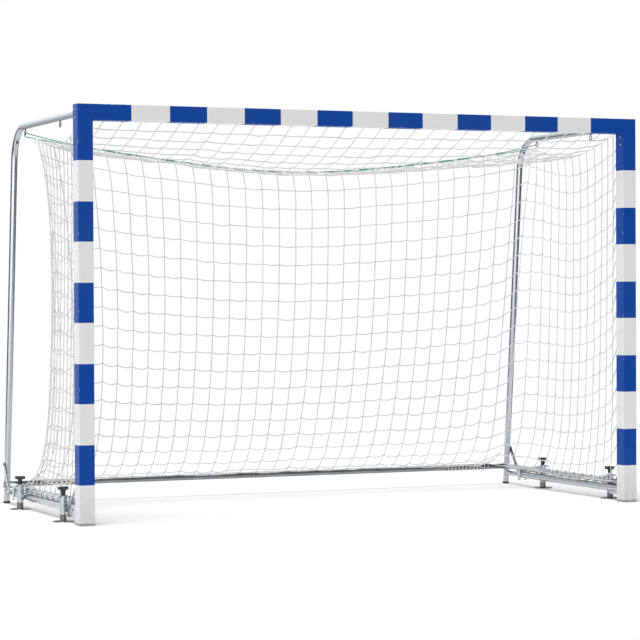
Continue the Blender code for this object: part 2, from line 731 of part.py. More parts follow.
def make_front_bracket(side, sign):
    """Flange on the rear of the post, with side plate and strut along the outside of the rail."""
    inner = POST_X - RAIL_RADIUS - FIT - FRONT_BRACKET_PLATE
    outer = OUTER_X - FRONT_FLANGE_INSIDE
    bottom = FRONT_BRACKET_CENTRE - FRONT_BRACKET_HEIGHT / 2
    plate_top = bottom + FRONT_BRACKET_HEIGHT
    plate_x = POST_X + RAIL_RADIUS + FIT

    def mirrored(low, high):
        xs = sorted((sign * low[0], sign * high[0]))
        return box((xs[0], back(low[1]), low[2]), (xs[1], back(high[1]), high[2]))

    flange_back = REAR_FACE + FRONT_BRACKET_PLATE
    flange = mirrored((inner, REAR_FACE, bottom), (outer, flange_back, FRONT_FLANGE_TOP))
    bracket = place(side + "_front_bracket", flange, GALVANISED)
    middle_of_flange = REAR_FACE + FRONT_BRACKET_PLATE / 2
    side_end = REAR_FACE + FRONT_BRACKET_REACH
    join(bracket, mirrored((plate_x, middle_of_flange, bottom + FIT),
                           (plate_x + FRONT_BRACKET_PLATE, side_end, plate_top)))
    bolt_at = (sign * (plate_x + FRONT_BRACKET_PLATE), back(FRONT_BOLT_SETBACK), RAIL_HEIGHT)
    join(bracket, bolt_head(), bolt_at, along_x(sign))
    strut_x = plate_x + FRONT_BRACKET_PLATE - STRUT_OVERLAP
    top = Vector((middle_of_flange, STRUT_TOP))
    foot = Vector(STRUT_FOOT)
    along = (foot - top).normalized()
    across = Vector((-along.y, along.x)) * STRUT_WIDTH / 2
    upright = Vector((0, STRUT_WIDTH / 2 / along.x))
    outline = [top - upright, top + upright, foot + across]
    start = math.atan2(across.y, across.x)
    for i in range(1, SMALL_SIDES // 2):
        angle = start - math.pi * i / (SMALL_SIDES // 2)
        outline.append(foot + Vector((math.cos(angle), math.sin(angle))) * STRUT_WIDTH / 2)
    outline.append(foot - across)
    flat = [[(sign * (y - DEPTH / 2), z) for y, z in outline]]
    stand = (math.pi / 2, 0, sign * math.pi / 2)
    plane = (sign * (strut_x + STRUT_PLATE / 2), 0, 0)
    join(bracket, slab(flat, STRUT_PLATE), plane, stand)
    head_at = (sign * (strut_x + STRUT_PLATE), back(foot.x), foot.y)
    join(bracket, bolt_head(), head_at, along_x(sign))


# Net frame tubes on the rails

def make_side_tube(side, sign):
    """Tube over the rail, with the fork that straddles the rail near its rear end."""
    rear = CORNER_SETBACK - RING_REACH
    wall = pipe(FRAME_TUBE_RADIUS, FRAME_BORE, 0, rear - SIDE_TUBE_FRONT)
    at = (sign * POST_X, back(SIDE_TUBE_FRONT), FRAME_TUBE_HEIGHT)
    tube = place(side + "_side_tube", wall, GALVANISED, at, along_y())
    under = RAIL_HEIGHT + RAIL_RADIUS + FIT
    top = FRAME_TUBE_HEIGHT - FRAME_TUBE_RADIUS + FRAME_TUBE_WALL / 2
    inside = RAIL_RADIUS + FIT
    outside = inside + FORK_PLATE
    outline = [(-outside, FORK_FOOT), (-inside, FORK_FOOT), (-inside, under), (inside, under)]
    outline += [(inside, FORK_FOOT), (outside, FORK_FOOT), (outside, top), (-outside, top)]
    fork = slab([outline], FORK_WIDTH)
    join(tube, fork, (sign * POST_X, back(FORK_SETBACK), 0), (math.pi / 2, 0, 0))


def make_rear_tube():
    """Tube across the back, with a ring round each leg and a spigot into each side tube."""
    ring_wall = CORNER_RING_RADIUS - SPIGOT_RADIUS - FIT
    end = POST_X - CORNER_RING_RADIUS + ring_wall / 2
    at = (0, back(CORNER_SETBACK), FRAME_TUBE_HEIGHT)
    tube = place("rear_tube", rod(FRAME_TUBE_RADIUS, -end, end), GALVANISED, at, along_x())
    for _, sign in SIDES:
        foot, lean = on_hoop_axis(sign)
        join(tube, rod(CORNER_RING_RADIUS, RING_FOOT, RING_TOP), foot, lean)
        spigot = rod(FRAME_BORE - FIT, 0, RING_REACH + CORNER_SPIGOT_LENGTH)
        join(tube, spigot, (sign * POST_X, back(CORNER_SETBACK), FRAME_TUBE_HEIGHT), along_y(-1))
    for _, sign in SIDES:
        drill = rod(CORNER_HOLE_RADIUS, 0, 2 * FRAME_TUBE_RADIUS, SMALL_SIDES)
        hole_x = sign * (POST_X - CORNER_HOLE_INSIDE)
        cut(tube, drill, (hole_x, back(CORNER_SETBACK), FRAME_TUBE_HEIGHT), along_y(-1))
    open_end = POST_X - (SPIGOT_RADIUS - FRAME_BORE)
    cut(tube, rod(FRAME_BORE, -open_end, open_end), at, along_x())
    for _, sign in SIDES:
        foot, lean = on_hoop_axis(sign)
        cut(tube, rod(SPIGOT_RADIUS + FIT, RING_FOOT / 2, RING_TOP * 2), foot, lean)


# Screw clamps

def make_clamp(side, sign, end):
    name = side + "_" + end + "_"
    setback = CLAMP_SETBACKS[end]
    x = sign * CLAMP_X
    centre = (x, back(setback), 0)
    bore = SPINDLE_RADIUS + FIT
    sleeve_bore = SLEEVE_RADIUS - SLEEVE_WALL
    sleeve = pipe(SLEEVE_RADIUS, sleeve_bore, FLOOR_BOSS_TOP + FIT, SLEEVE_TOP)
    place(name + "clamp_sleeve", sleeve, GALVANISED, centre)
    rim = FLOOR_PLATE_THICKNESS - FLOOR_PLATE_BEVEL
    foot = [(0, FLOOR_BORE_BOTTOM), (bore, FLOOR_BORE_BOTTOM), (bore, FLOOR_BOSS_TOP)]
    foot += [(FLOOR_BOSS_RADIUS, FLOOR_BOSS_TOP), (FLOOR_BOSS_RADIUS, FLOOR_PLATE_THICKNESS)]
    foot += [(FLOOR_PLATE_RADIUS - FLOOR_PLATE_EDGE, FLOOR_PLATE_THICKNESS)]
    foot += [(FLOOR_PLATE_RADIUS, rim), (FLOOR_PLATE_RADIUS, 0), (0, 0)]
    place(name + "floor_plate", turned(foot, steps=PLATE_SIDES), ZINC_YELLOW, centre)

    tube = POST_X - CLAMP_X
    half_foot = CLAMP_FOOT / 2
    tube_top = FRAME_TUBE_HEIGHT + FRAME_TUBE_RADIUS + FIT
    flat = SLEEVE_RADIUS + FIT
    step = CLAMP_UNDERSIDE - tube_top
    outer_foot = flat + step + half_foot
    outline = [(outer_foot, tube_top), (outer_foot - half_foot, tube_top)]
    outline += [(flat, CLAMP_UNDERSIDE), (-flat, CLAMP_UNDERSIDE)]
    outline += [(tube + half_foot, tube_top), (tube - half_foot, tube_top)]
    outline += [(tube - half_foot, tube_top + CLAMP_PLATE)]
    outline += [(tube + half_foot - FIT, tube_top + CLAMP_PLATE)]
    outline += [(-flat - FIT, CLAMP_TOP), (flat + FIT, CLAMP_TOP)]
    outline += [(outer_foot, tube_top + CLAMP_PLATE)]
    flat_shape = [[(sign * across, height) for across, height in outline]]
    plate = place(name + "clamp_plate", slab(flat_shape, CLAMP_PLATE_DEPTH), GALVANISED,
                  centre, (math.pi / 2, 0, 0))
    hole = rod(SPINDLE_RADIUS + CLAMP_HOLE_CLEARANCE, 0, KNOB_TOP, SMALL_SIDES + 2)
    cut(plate, hole, centre)

    collar_top = CLAMP_UNDERSIDE - FIT
    collar_foot = collar_top - SPINDLE_COLLAR_HEIGHT
    steps = [(0, SPINDLE_TOP), (SPINDLE_RADIUS, SPINDLE_TOP), (SPINDLE_RADIUS, collar_top)]
    steps += [(SPINDLE_COLLAR_RADIUS, collar_top), (SPINDLE_COLLAR_RADIUS, collar_foot)]
    steps += [(SPINDLE_RADIUS, collar_foot), (SPINDLE_RADIUS, SPINDLE_BOTTOM)]
    steps += [(0, SPINDLE_BOTTOM)]
    place(name + "spindle", turned(steps, steps=SMALL_SIDES + 2), ZINC_YELLOW, centre)

    points = []
    for i in range(KNOB_LOBES * KNOB_POINTS_PER_LOBE):
        angle = 2 * math.pi * i / (KNOB_LOBES * KNOB_POINTS_PER_LOBE)
        radius = KNOB_RADIUS - KNOB_LOBE_DEPTH * (1 - math.cos(KNOB_LOBES * angle)) / 2
        points.append((radius * math.cos(angle), radius * math.sin(angle)))
    head_at = (x, back(setback), KNOB_TOP - KNOB_HEAD_HEIGHT / 2)
    knob = place(name + "knob", slab([points], KNOB_HEAD_HEIGHT, KNOB_EDGE),
                 BLACK_PLASTIC, head_at)
    hub_top = KNOB_FOOT + KNOB_HUB_HEIGHT + KNOB_HEAD_HEIGHT / 2
    hub = [(0, hub_top), (KNOB_HUB_TOP_RADIUS, hub_top)]
    hub += [(KNOB_HUB_FOOT_RADIUS, KNOB_FOOT), (0, KNOB_FOOT)]
    join(knob, turned(hub), centre)
    cut(knob, rod(bore, KNOB_FOOT / 2, KNOB_TOP - KNOB_TOP_WALL, SMALL_SIDES + 2), centre)


# Hooks, cord and nets

def make_hook(side, sign, end):
    """Wire eye under the arm, in the plane of the hoop."""
    ring = [(HOOK_RING_RADIUS + HOOK_WIRE_RADIUS * math.cos(2 * math.pi * i / WIRE_SIDES),
             HOOK_WIRE_RADIUS * math.sin(2 * math.pi * i / WIRE_SIDES))
            for i in range(WIRE_SIDES)]
    at = (sign * POST_X, back(HOOK_SETBACKS[end]), HOOK_RING_CENTRE)
    hook = place(side + "_" + end + "_hook", turned(ring[::-1], True, RING_SIDES), DARK_STEEL,
                 at, along_x())
    stem = rod(HOOK_WIRE_RADIUS, HOOK_TOP - HOOK_STEM - HOOK_WIRE_RADIUS, HOOK_TOP, WIRE_SIDES)
    join(hook, stem, (at[0], at[1], 0))


def cord_height(x):
    """Height of the lower strand of the cord at this distance from the middle."""
    return float(np.interp(abs(x), *zip(*CORD_ENDS)))


def strand_gap(x):
    """Distance between the strands, which part near the hooks to go round them."""
    share = max(0.0, 1 - (CORD_END_X - abs(x)) / CORD_PARTING)
    return CORD_PAIR + (2 * CORD_LOOP_RADIUS - CORD_PAIR) * share * share


def make_tension_cord():
    """Endless cord, doubled between the two rear hooks."""
    y = back(HOOK_SETBACKS["rear"])
    xs = [-x for x, _ in reversed(CORD_ENDS[1:])] + [x for x, _ in CORD_ENDS]
    points = [(x, y, cord_height(x)) for x in xs]
    turns = [math.pi * i / CORD_LOOP_POINTS for i in range(1, CORD_LOOP_POINTS)]
    around = CORD_LOOP_RADIUS
    points += [(CORD_END_X + around * math.sin(a), y, HOOK_BAR - around * math.cos(a))
               for a in turns]
    points += [(x, y, cord_height(x) + strand_gap(x)) for x in reversed(xs)]
    points += [(-CORD_END_X - around * math.sin(a), y, HOOK_BAR + around * math.cos(a))
               for a in turns]
    place("tension_cord", closed_tube(points, CORD_RADIUS, 1), CORD_GREEN)


def closed_tube(points, radius, resolution):
    curve = bpy.data.curves.new("loop", "CURVE")
    curve.dimensions = "3D"
    curve.bevel_depth = radius
    curve.bevel_resolution = resolution
    spline = curve.splines.new("POLY")
    spline.points.add(len(points) - 1)
    for target, point in zip(spline.points, points):
        target.co = (*point, 1)
    spline.use_cyclic_u = True
    obj = bpy.data.objects.new("loop", curve)
    CUTTERS.objects.link(obj)
    return meshed(obj)


def corner_edge(sign, fall):
    """Seam between side and back net; fall runs from 0 at the cord to 1 at the rear tube."""
    top = cord_height(NET_CORNER_X)
    drawn = NET_DRAW * (4 * fall * (1 - fall)) ** NET_DRAW_POWER
    x = NET_CORNER_X + (POST_X - NET_FOOT_INSET - NET_CORNER_X) * fall - drawn
    seam = HOOK_SETBACKS["rear"] + CORD_RADIUS + NET_GAP + NET_CORD / 2
    return np.array((sign * x, seam + (NET_FOOT_SETBACK - seam) * fall,
                     top + (FRAME_TUBE_HEIGHT - top) * fall))


def patch(top, bottom, first, last, across, down):
    """Coons patch between four edges, each a function of 0 to 1, as rows of points."""
    rows = []
    for j in range(down + 1):
        v = j / down
        row = []
        for i in range(across + 1):
            u = i / across
            ruled = (1 - v) * top(u) + v * bottom(u) + (1 - u) * first(v) + u * last(v)
            corners = (1 - u) * (1 - v) * top(0) + u * (1 - v) * top(1)
            corners = corners + (1 - u) * v * bottom(0) + u * v * bottom(1)
            row.append(ruled - corners)
        rows.append(row)
    return np.array(rows)


def make_net(name, rows):
    """Square meshes of flat ribbon, solid enough to stand for knotted cord."""
    down = len(rows) - 1
    across = len(rows[0]) - 1
    form = bmesh.new()
    bmesh.ops.create_grid(form, x_segments=across, y_segments=down, size=0.5)
    for vertex in form.verts:
        i = round((vertex.co.x + 0.5) * across)
        j = round((0.5 - vertex.co.y) * down)
        x, setback, height = rows[j][i]
        vertex.co = (x, back(setback), height)
    inset = bmesh.ops.inset_individual(form, faces=form.faces, thickness=NET_CORD / 2)
    rims = set(inset["faces"])
    gaps = [face for face in form.faces if face not in rims]
    bmesh.ops.delete(form, geom=gaps, context="FACES_ONLY")
    mesh = bpy.data.meshes.new(name)
    form.to_mesh(mesh)
    form.free()
    net = place(name, mesh, NET_WHITE)
    thick = net.modifiers.new("Thickness", "SOLIDIFY")
    thick.thickness = NET_CORD
    thick.offset = 0
    return net


def make_back_net():
    def top(u):
        x = (2 * u - 1) * (NET_CORNER_X - NET_SEAM)
        return np.array((x, corner_edge(1, 0)[1], cord_height(x)))

    def bottom(u):
        x = (2 * u - 1) * (POST_X - NET_FOOT_INSET - NET_SEAM)
        return np.array((x, NET_FOOT_SETBACK, FRAME_TUBE_HEIGHT))

    def left(v):
        return corner_edge(-1, v) + np.array((NET_SEAM, 0, 0))

    def right(v):
        return corner_edge(1, v) - np.array((NET_SEAM, 0, 0))

    rows = patch(top, bottom, left, right, *BACK_GAPS)
    down, across = rows.shape[:2]
    for j in range(down):
        for i in range(across):
            bow = math.sin(math.pi * j / (down - 1)) * math.sin(math.pi * i / (across - 1))
            rows[j][i][1] -= NET_BACK_BOW * bow
    make_net("back_net", rows)


def make_top_net():
    rear = HOOK_SETBACKS["rear"] - CORD_RADIUS - NET_GAP - NET_CORD / 2
    front_x = NET_FOOT_X - 2 * NET_SEAM
    rear_x = NET_CORNER_X - 2 * NET_SEAM

    def front(u):
        return np.array(((2 * u - 1) * front_x, NET_FRONT, NET_TOP_HEIGHT))

    def behind(u):
        x = (2 * u - 1) * rear_x
        return np.array((x, rear, cord_height(x)))

    def edge(sign):
        def point(v):
            start = np.array((sign * front_x, NET_FRONT, NET_TOP_HEIGHT))
            stop = np.array((sign * rear_x, rear, cord_height(rear_x)))
            return start + (stop - start) * v
        return point

    rows = patch(front, behind, edge(-1), edge(1), *TOP_GAPS)
    down, across = rows.shape[:2]
    for j in range(down):
        for i in range(across):
            bow = math.sin(math.pi * j / (down - 1)) * math.sin(math.pi * i / (across - 1))
            rows[j][i][2] -= NET_TOP_SAG * bow
    make_net("top_net", rows)


def make_side_net(side, sign):
    seam = np.array((sign * NET_SEAM, 0, 0))
    under_cord = np.array((0, 0, CORD_RADIUS + NET_CORD))
    corner_top = corner_edge(sign, 0) + seam - under_cord
    corner_foot = corner_edge(sign, 1) + seam
    front_top = np.array((sign * NET_FOOT_X, NET_FRONT, NET_TOP_HEIGHT))
    front_foot = np.array((sign * NET_FOOT_X, NET_FRONT, FRAME_TUBE_HEIGHT))
    turn = np.array((sign * NET_FOOT_X, NET_TURN_START, FRAME_TUBE_HEIGHT))
    turn_share = (NET_TURN_START - NET_FRONT) / (NET_FOOT_SETBACK - NET_FRONT)

    def top(u):
        return front_top + (corner_top - front_top) * u

    def bottom(u):
        if u < turn_share:
            return front_foot + (turn - front_foot) * u / turn_share
        return turn + (corner_foot - turn) * (u - turn_share) / (1 - turn_share)

    def front(v):
        return front_top + (front_foot - front_top) * v

    def rear(v):
        return corner_edge(sign, v) + seam - under_cord * (1 - v)

    make_net(side + "_side_net", patch(top, bottom, front, rear, *SIDE_GAPS))


def make_lacing(side, sign):
    """Cord wound round the side tube, passing under it at both clamps."""
    span = CLAMP_SETBACKS["rear"] - CLAMP_SETBACKS["front"]
    pitch = span / LACE_CLAMP_SPAN_TURNS
    start = CLAMP_SETBACKS["front"] - LACE_START_TURNS * pitch
    points = []
    for i in range(LACE_TURNS * LACE_POINTS_PER_TURN + 1):
        turns = i / LACE_POINTS_PER_TURN
        angle = 2 * math.pi * (turns - LACE_START_TURNS)
        points.append((sign * (POST_X - LACE_HELIX_RADIUS * math.sin(angle)),
                       back(start + turns * pitch),
                       FRAME_TUBE_HEIGHT - LACE_HELIX_RADIUS * math.cos(angle)))
    gap = pitch - 2 * LACE_RADIUS
    print("lacing", side, "least gap to itself mm", round(gap * 1000, 2))
    place(side + "_lacing", bent_tube(points, LACE_RADIUS, 1), NET_WHITE)


# The whole goal

make_crossbar()
make_rear_tube()
make_tension_cord()
make_back_net()
make_top_net()
for side_name, side_sign in SIDES:
    make_post(side_name, side_sign)
    make_corner_connector(side_name, side_sign)
    make_foot_cap(side_name, side_sign)
    make_top_bracket(side_name, side_sign)
    make_hoop(side_name, side_sign)
    make_hoop_bolt(side_name, side_sign)
    make_rear_leg(side_name, side_sign)
    make_brace(side_name, side_sign)
    make_ground_rail(side_name, side_sign)
    make_front_bracket(side_name, side_sign)
    make_side_tube(side_name, side_sign)
    make_side_net(side_name, side_sign)
    make_lacing(side_name, side_sign)
    for end_name in CLAMP_SETBACKS:
        make_clamp(side_name, side_sign, end_name)
        make_hook(side_name, side_sign, end_name)
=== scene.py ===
"""Handball goal: striped profile frame, galvanised net hoops and ground frame, knotted net, screw clamps.

Metres, +Z up, mouth facing -Y. Depths are counted from the front face of the posts.
"""

import math

import bmesh
import bpy
import numpy as np
from mathutils import Matrix, Vector


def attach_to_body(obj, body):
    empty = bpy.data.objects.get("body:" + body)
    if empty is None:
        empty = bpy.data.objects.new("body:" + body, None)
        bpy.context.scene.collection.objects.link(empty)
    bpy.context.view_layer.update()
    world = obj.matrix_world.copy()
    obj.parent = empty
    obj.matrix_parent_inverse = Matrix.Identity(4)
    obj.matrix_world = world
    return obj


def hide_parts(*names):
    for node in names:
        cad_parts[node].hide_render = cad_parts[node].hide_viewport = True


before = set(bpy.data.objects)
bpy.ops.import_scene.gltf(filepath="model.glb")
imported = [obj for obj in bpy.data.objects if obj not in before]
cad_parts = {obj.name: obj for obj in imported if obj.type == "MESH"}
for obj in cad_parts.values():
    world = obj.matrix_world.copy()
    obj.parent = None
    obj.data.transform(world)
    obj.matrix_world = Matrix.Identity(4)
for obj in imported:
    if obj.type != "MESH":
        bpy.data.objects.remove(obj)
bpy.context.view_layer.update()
bpy.ops.object.select_all(action="DESELECT")


# Camera: the goal was photographed from the left of its mouth, 12 m away at chest height,
# with a long lens that hardly narrows it towards the back.
YAW, PITCH, ROLL = 0.404945, -0.010498, -0.0046082
CAMERA_PLACE = (-5.10516, -11.970385, 1.13347)
LENS = 134.147
ahead = Vector((math.sin(YAW) * math.cos(PITCH), math.cos(YAW) * math.cos(PITCH), math.sin(PITCH)))
level = Vector((math.cos(YAW), -math.sin(YAW), 0))
upright = level.cross(ahead)
right = math.cos(ROLL) * level + math.sin(ROLL) * upright
up = math.cos(ROLL) * upright - math.sin(ROLL) * level
camera_data = bpy.data.cameras.new("photo_camera")
camera_data.sensor_width = 36
camera_data.lens = LENS
camera_data.clip_end = 100
camera = bpy.data.objects.new("photo_camera", camera_data)
bpy.context.scene.collection.objects.link(camera)
turned = Matrix((right, up, -ahead)).transposed().to_4x4()
camera.matrix_world = Matrix.Translation(CAMERA_PLACE) @ turned
bpy.context.scene.camera = camera


# Tension cord: one turquoise braided cord, doubled, looped round the eyes under both arms.
# It runs through the last meshes of the top net and carries the back net, which pulls it down.
SIDES = (("left", -1), ("right", 1))
MIDDLE = 0.736925
CORD_RADIUS = 0.0025
CORD_SETBACK = 1.04996
CORD_ROUTE = ((0.000, 1.8150), (0.150, 1.8170), (0.310, 1.8255), (0.470, 1.8395), (0.630, 1.8560),
              (0.790, 1.8745), (0.950, 1.8945), (1.110, 1.9155), (1.240, 1.9345), (1.350, 1.9515),
              (1.450, 1.9675), (1.5353, 1.9812))
CORD_END = 1.5353
CORD_LOOP = 0.010
HOOK_BAR = 1.9912
STRANDS_APART = 0.0056
PARTING = 0.30
TWIST_PITCH = 0.21
TWIST_STEP = 0.0028
BINDING = (1.292, 1.306)
BINDING_TURNS = 4


def back(setback):
    """Y of a depth measured from the front face of the posts."""
    return setback - MIDDLE


def cord_height(x):
    return np.interp(np.abs(x), *zip(*CORD_ROUTE))


def cord_gap(x):
    """Distance between the two strands, which part on their way to the hooks."""
    share = np.clip(1 - (CORD_END - np.abs(x)) / PARTING, 0, None)
    return STRANDS_APART + (2 * CORD_LOOP - STRANDS_APART) * share * share


def rings_along(path, radius, sides, facing, closed=False):
    """Points in rings round a path, its faces, and for each face corner (length along, share round)."""
    path = np.asarray(path, float)
    count = len(path)
    tangent = np.roll(path, -1, 0) - np.roll(path, 1, 0) if closed else np.gradient(path, axis=0)
    tangent /= np.linalg.norm(tangent, axis=1)[:, None]
    facing = np.broadcast_to(np.asarray(facing, float), path.shape)
    first = facing - (facing * tangent).sum(1)[:, None] * tangent
    first /= np.linalg.norm(first, axis=1)[:, None]
    second = np.cross(tangent, first)
    turn = 2 * np.pi * np.arange(sides) / sides
    ring = np.cos(turn)[None, :, None] * first[:, None] + np.sin(turn)[None, :, None] * second[:, None]
    points = (path[:, None] + ring * radius).reshape(-1, 3)
    laps = count if closed else count - 1
    i = np.repeat(np.arange(laps), sides)
    k = np.tile(np.arange(sides), laps)
    j = (i + 1) % count
    k1 = (k + 1) % sides
    faces = np.stack((i * sides + k, i * sides + k1, j * sides + k1, j * sides + k), 1)
    steps = np.linalg.norm(np.roll(path, -1, 0) - path, axis=1)
    along = np.concatenate(((0,), np.cumsum(steps)))
    corners = ((along[i], k), (along[i], k + 1), (along[i + 1], k + 1), (along[i + 1], k))
    lay = np.stack([np.stack((length, turned / sides), 1) for length, turned in corners], 1)
    return points, faces, lay, 0 if closed else sides


def attach(obj, stands_for, body="frame"):
    """Says which CAD nodes a piece stands for, hiding them, and which body it rides."""
    if stands_for:
        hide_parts(*stands_for)
    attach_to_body(obj, body)


def cord_object(name, tubes, material, slot, *stands_for):
    """One mesh out of many tubes, with closed ends and its lay as a UV map."""
    points, faces, lay, ends = [], [], [], []
    start = 0
    for tube_points, tube_faces, tube_lay, open_sides in tubes:
        points.append(tube_points)
        faces.append(tube_faces + start)
        lay.append(tube_lay.reshape(-1, 2))
        if open_sides:
            last = start + len(tube_points) - open_sides
            ends.append([start + k for k in reversed(range(open_sides))])
            ends.append([last + k for k in range(open_sides)])
        start += len(tube_points)
    mesh = bpy.data.meshes.new(name)
    mesh.from_pydata(np.concatenate(points).tolist(), [], np.concatenate(faces).tolist() + ends)
    flat = np.zeros((len(mesh.loops), 2))
    laid = np.concatenate(lay)
    flat[:len(laid)] = laid
    mesh.uv_layers.new(name="Lay").data.foreach_set("uv", flat.ravel())
    mesh.shade_smooth()
    mesh.materials.append(material)
    obj = bpy.data.objects.new(name, mesh)
    bpy.context.scene.collection.objects.link(obj)
    attach(obj, stands_for)


def new_finish(name, colour, roughness, metallic=0.0):
    """A material, its node tree and its shader."""
    material = bpy.data.materials.new(name)
    material.use_nodes = True
    shader = material.node_tree.nodes["Principled BSDF"]
    shader.inputs["Base Color"].default_value = (*colour, 1)
    shader.inputs["Roughness"].default_value = roughness
    shader.inputs["Metallic"].default_value = metallic
    return material, material.node_tree, shader


def give(tree, socket, value):
    """Links another node's output to a socket, or sets the socket's value."""
    if isinstance(value, bpy.types.NodeSocket):
        tree.links.new(value, socket)
    elif isinstance(value, tuple):
        socket.default_value = (*value, 1)[:len(socket.default_value)]
    else:
        socket.default_value = value


def put(tree, kind, inputs=None, **settings):
    """Adds one node to a tree; inputs are values or other nodes' outputs."""
    made = tree.nodes.new(kind)
    for name, value in settings.items():
        setattr(made, name, value)
    for name, value in (inputs or {}).items():
        give(tree, made.inputs[name], value)
    return made


def number(tree, operation, first, second=0.0):
    return put(tree, "ShaderNodeMath", {0: first, 1: second}, operation=operation).outputs[0]


def scaled(tree, value, gain, base):
    return number(tree, "ADD", base, number(tree, "MULTIPLY", value, gain))


def patches(tree, value, limit, share):
    """This share wherever a value passes a limit, and nothing elsewhere."""
    return number(tree, "MULTIPLY", number(tree, "GREATER_THAN", value, limit), share)


def object_place(tree):
    return put(tree, "ShaderNodeTexCoord").outputs["Object"]


def noise(tree, place, scale, detail):
    return put(tree, "ShaderNodeTexNoise", {"Vector": place, "Scale": scale, "Detail": detail}).outputs[0]


def blend_colours(tree, share, first, second):
    made = put(tree, "ShaderNodeMix", data_type="RGBA", blend_type="MIX")
    for index, value in ((0, share), (6, first), (7, second)):
        give(tree, made.inputs[index], value)
    return made.outputs[2]


def connect(tree, shader, colour, roughness, height, strength, distance):
    """Gives a shader its colour, its roughness and bumps of this strength and depth."""
    bump = put(tree, "ShaderNodeBump", {"Height": height, "Strength": strength, "Distance": distance})
    for name, value in (("Base Color", colour), ("Roughness", roughness), ("Normal", bump.outputs[0])):
        give(tree, shader.inputs[name], value)


def braided(name, pale, dark, pitch, roughness, fleck):
    """Braided cord: two sets of strands that cross at a slant, with painted shade in the grooves between
    them, a little dirt and fluff.
    """
    material, tree, shader = new_finish(name, pale, roughness)
    lay = put(tree, "ShaderNodeSeparateXYZ", {0: put(tree, "ShaderNodeUVMap", uv_map="Lay").outputs[0]})
    along = number(tree, "DIVIDE", lay.outputs[0], pitch)
    turns = [number(tree, way, along, lay.outputs[1]) for way in ("ADD", "SUBTRACT")]
    strands = [number(tree, "SINE", number(tree, "MULTIPLY", turn, 2 * math.pi)) for turn in turns]
    height = number(tree, "MULTIPLY", number(tree, "ADD", number(tree, "MAXIMUM", *strands), 1.0), 0.5)
    place = object_place(tree)
    dirt = noise(tree, place, 9.0, 4.0)
    fluff = noise(tree, place, 700.0, 2.0)
    soiled = tuple(c * 0.78 for c in pale)
    # Strands pale on their crowns and dark in the grooves between them: painted shade.
    painted_groove_shade = blend_colours(tree, height, dark, pale)
    colour = blend_colours(tree, patches(tree, dirt, 0.56, 0.5), painted_groove_shade, soiled)
    colour = blend_colours(tree, patches(tree, fluff, 0.62, 0.6), colour, fleck)
    connect(tree, shader, colour, roughness, scaled(tree, fluff, 0.4, height), 0.7, 0.0006)
    shader.inputs["Sheen Weight"].default_value = 0.25
    shader.inputs["Specular IOR Level"].default_value = 0.25
    return material


xs = np.concatenate((-np.linspace(CORD_END, 0, 140), np.linspace(0, CORD_END, 140)[1:]))
twist = 2 * np.pi * xs / TWIST_PITCH
calm = np.clip((1.30 - np.abs(xs)) / 0.25, 0, 1)
middle_height = cord_height(xs) + cord_gap(xs) / 2
sway = (np.cos(twist) * calm + (1 - calm)) * cord_gap(xs) / 2
side_step = np.sin(twist) * calm * TWIST_STEP
lower = np.stack((xs, back(CORD_SETBACK) + side_step, middle_height - sway), 1)
upper = np.stack((xs, back(CORD_SETBACK) - side_step, middle_height + sway), 1)[::-1]
turns = np.pi * np.arange(1, 12) / 12
right_loop = np.stack((CORD_END + CORD_LOOP * np.sin(turns), 0 * turns + back(CORD_SETBACK),
                       HOOK_BAR - CORD_LOOP * np.cos(turns)), 1)
cord_path = np.concatenate((lower, right_loop, upper, right_loop[::-1] * (-1, 1, 1)))
cord_tubes = [rings_along(cord_path, CORD_RADIUS, 10, (0, 1, 0), closed=True)]
for _, side in SIDES:
    x = np.linspace(*BINDING, 7 * BINDING_TURNS + 1)
    around = 2 * np.pi * np.arange(len(x)) / 7
    centre = cord_height(x) + cord_gap(x) / 2
    binding = np.stack((side * x, back(CORD_SETBACK) + 0.0038 * np.cos(around),
                        centre + 0.0064 * np.sin(around)), 1)
    facing = np.stack((0 * x, np.cos(around), np.sin(around)), 1)
    cord_tubes.append(rings_along(binding, 0.0011, 6, facing))
turquoise = braided("turquoise_braid", (0.045, 0.36, 0.29), (0.01, 0.17, 0.14), 0.0075, 0.75,
                    (0.16, 0.50, 0.42))
cord_object("tension_cord_braid", cord_tubes, turquoise, "green_cord", "tension_cord")


# Striped frame: square aluminium tube, 80 mm, with a net groove behind, powder coated white and
# then blue through a mask that leaves a cream hairline. The corners are mitred and screwed.
POST_X = 1.54
ARM_HEIGHT = 2.04
HALF_PROFILE = 0.040
EDGE_ZONE = 0.0381
CORNER_BAND = 0.28
BAND = 0.20
GRIMY_FOOT = 0.20
WHITE = (0.76, 0.76, 0.77)
BLUE = (0.001, 0.056, 0.325)
CREAM = (0.80, 0.77, 0.66)


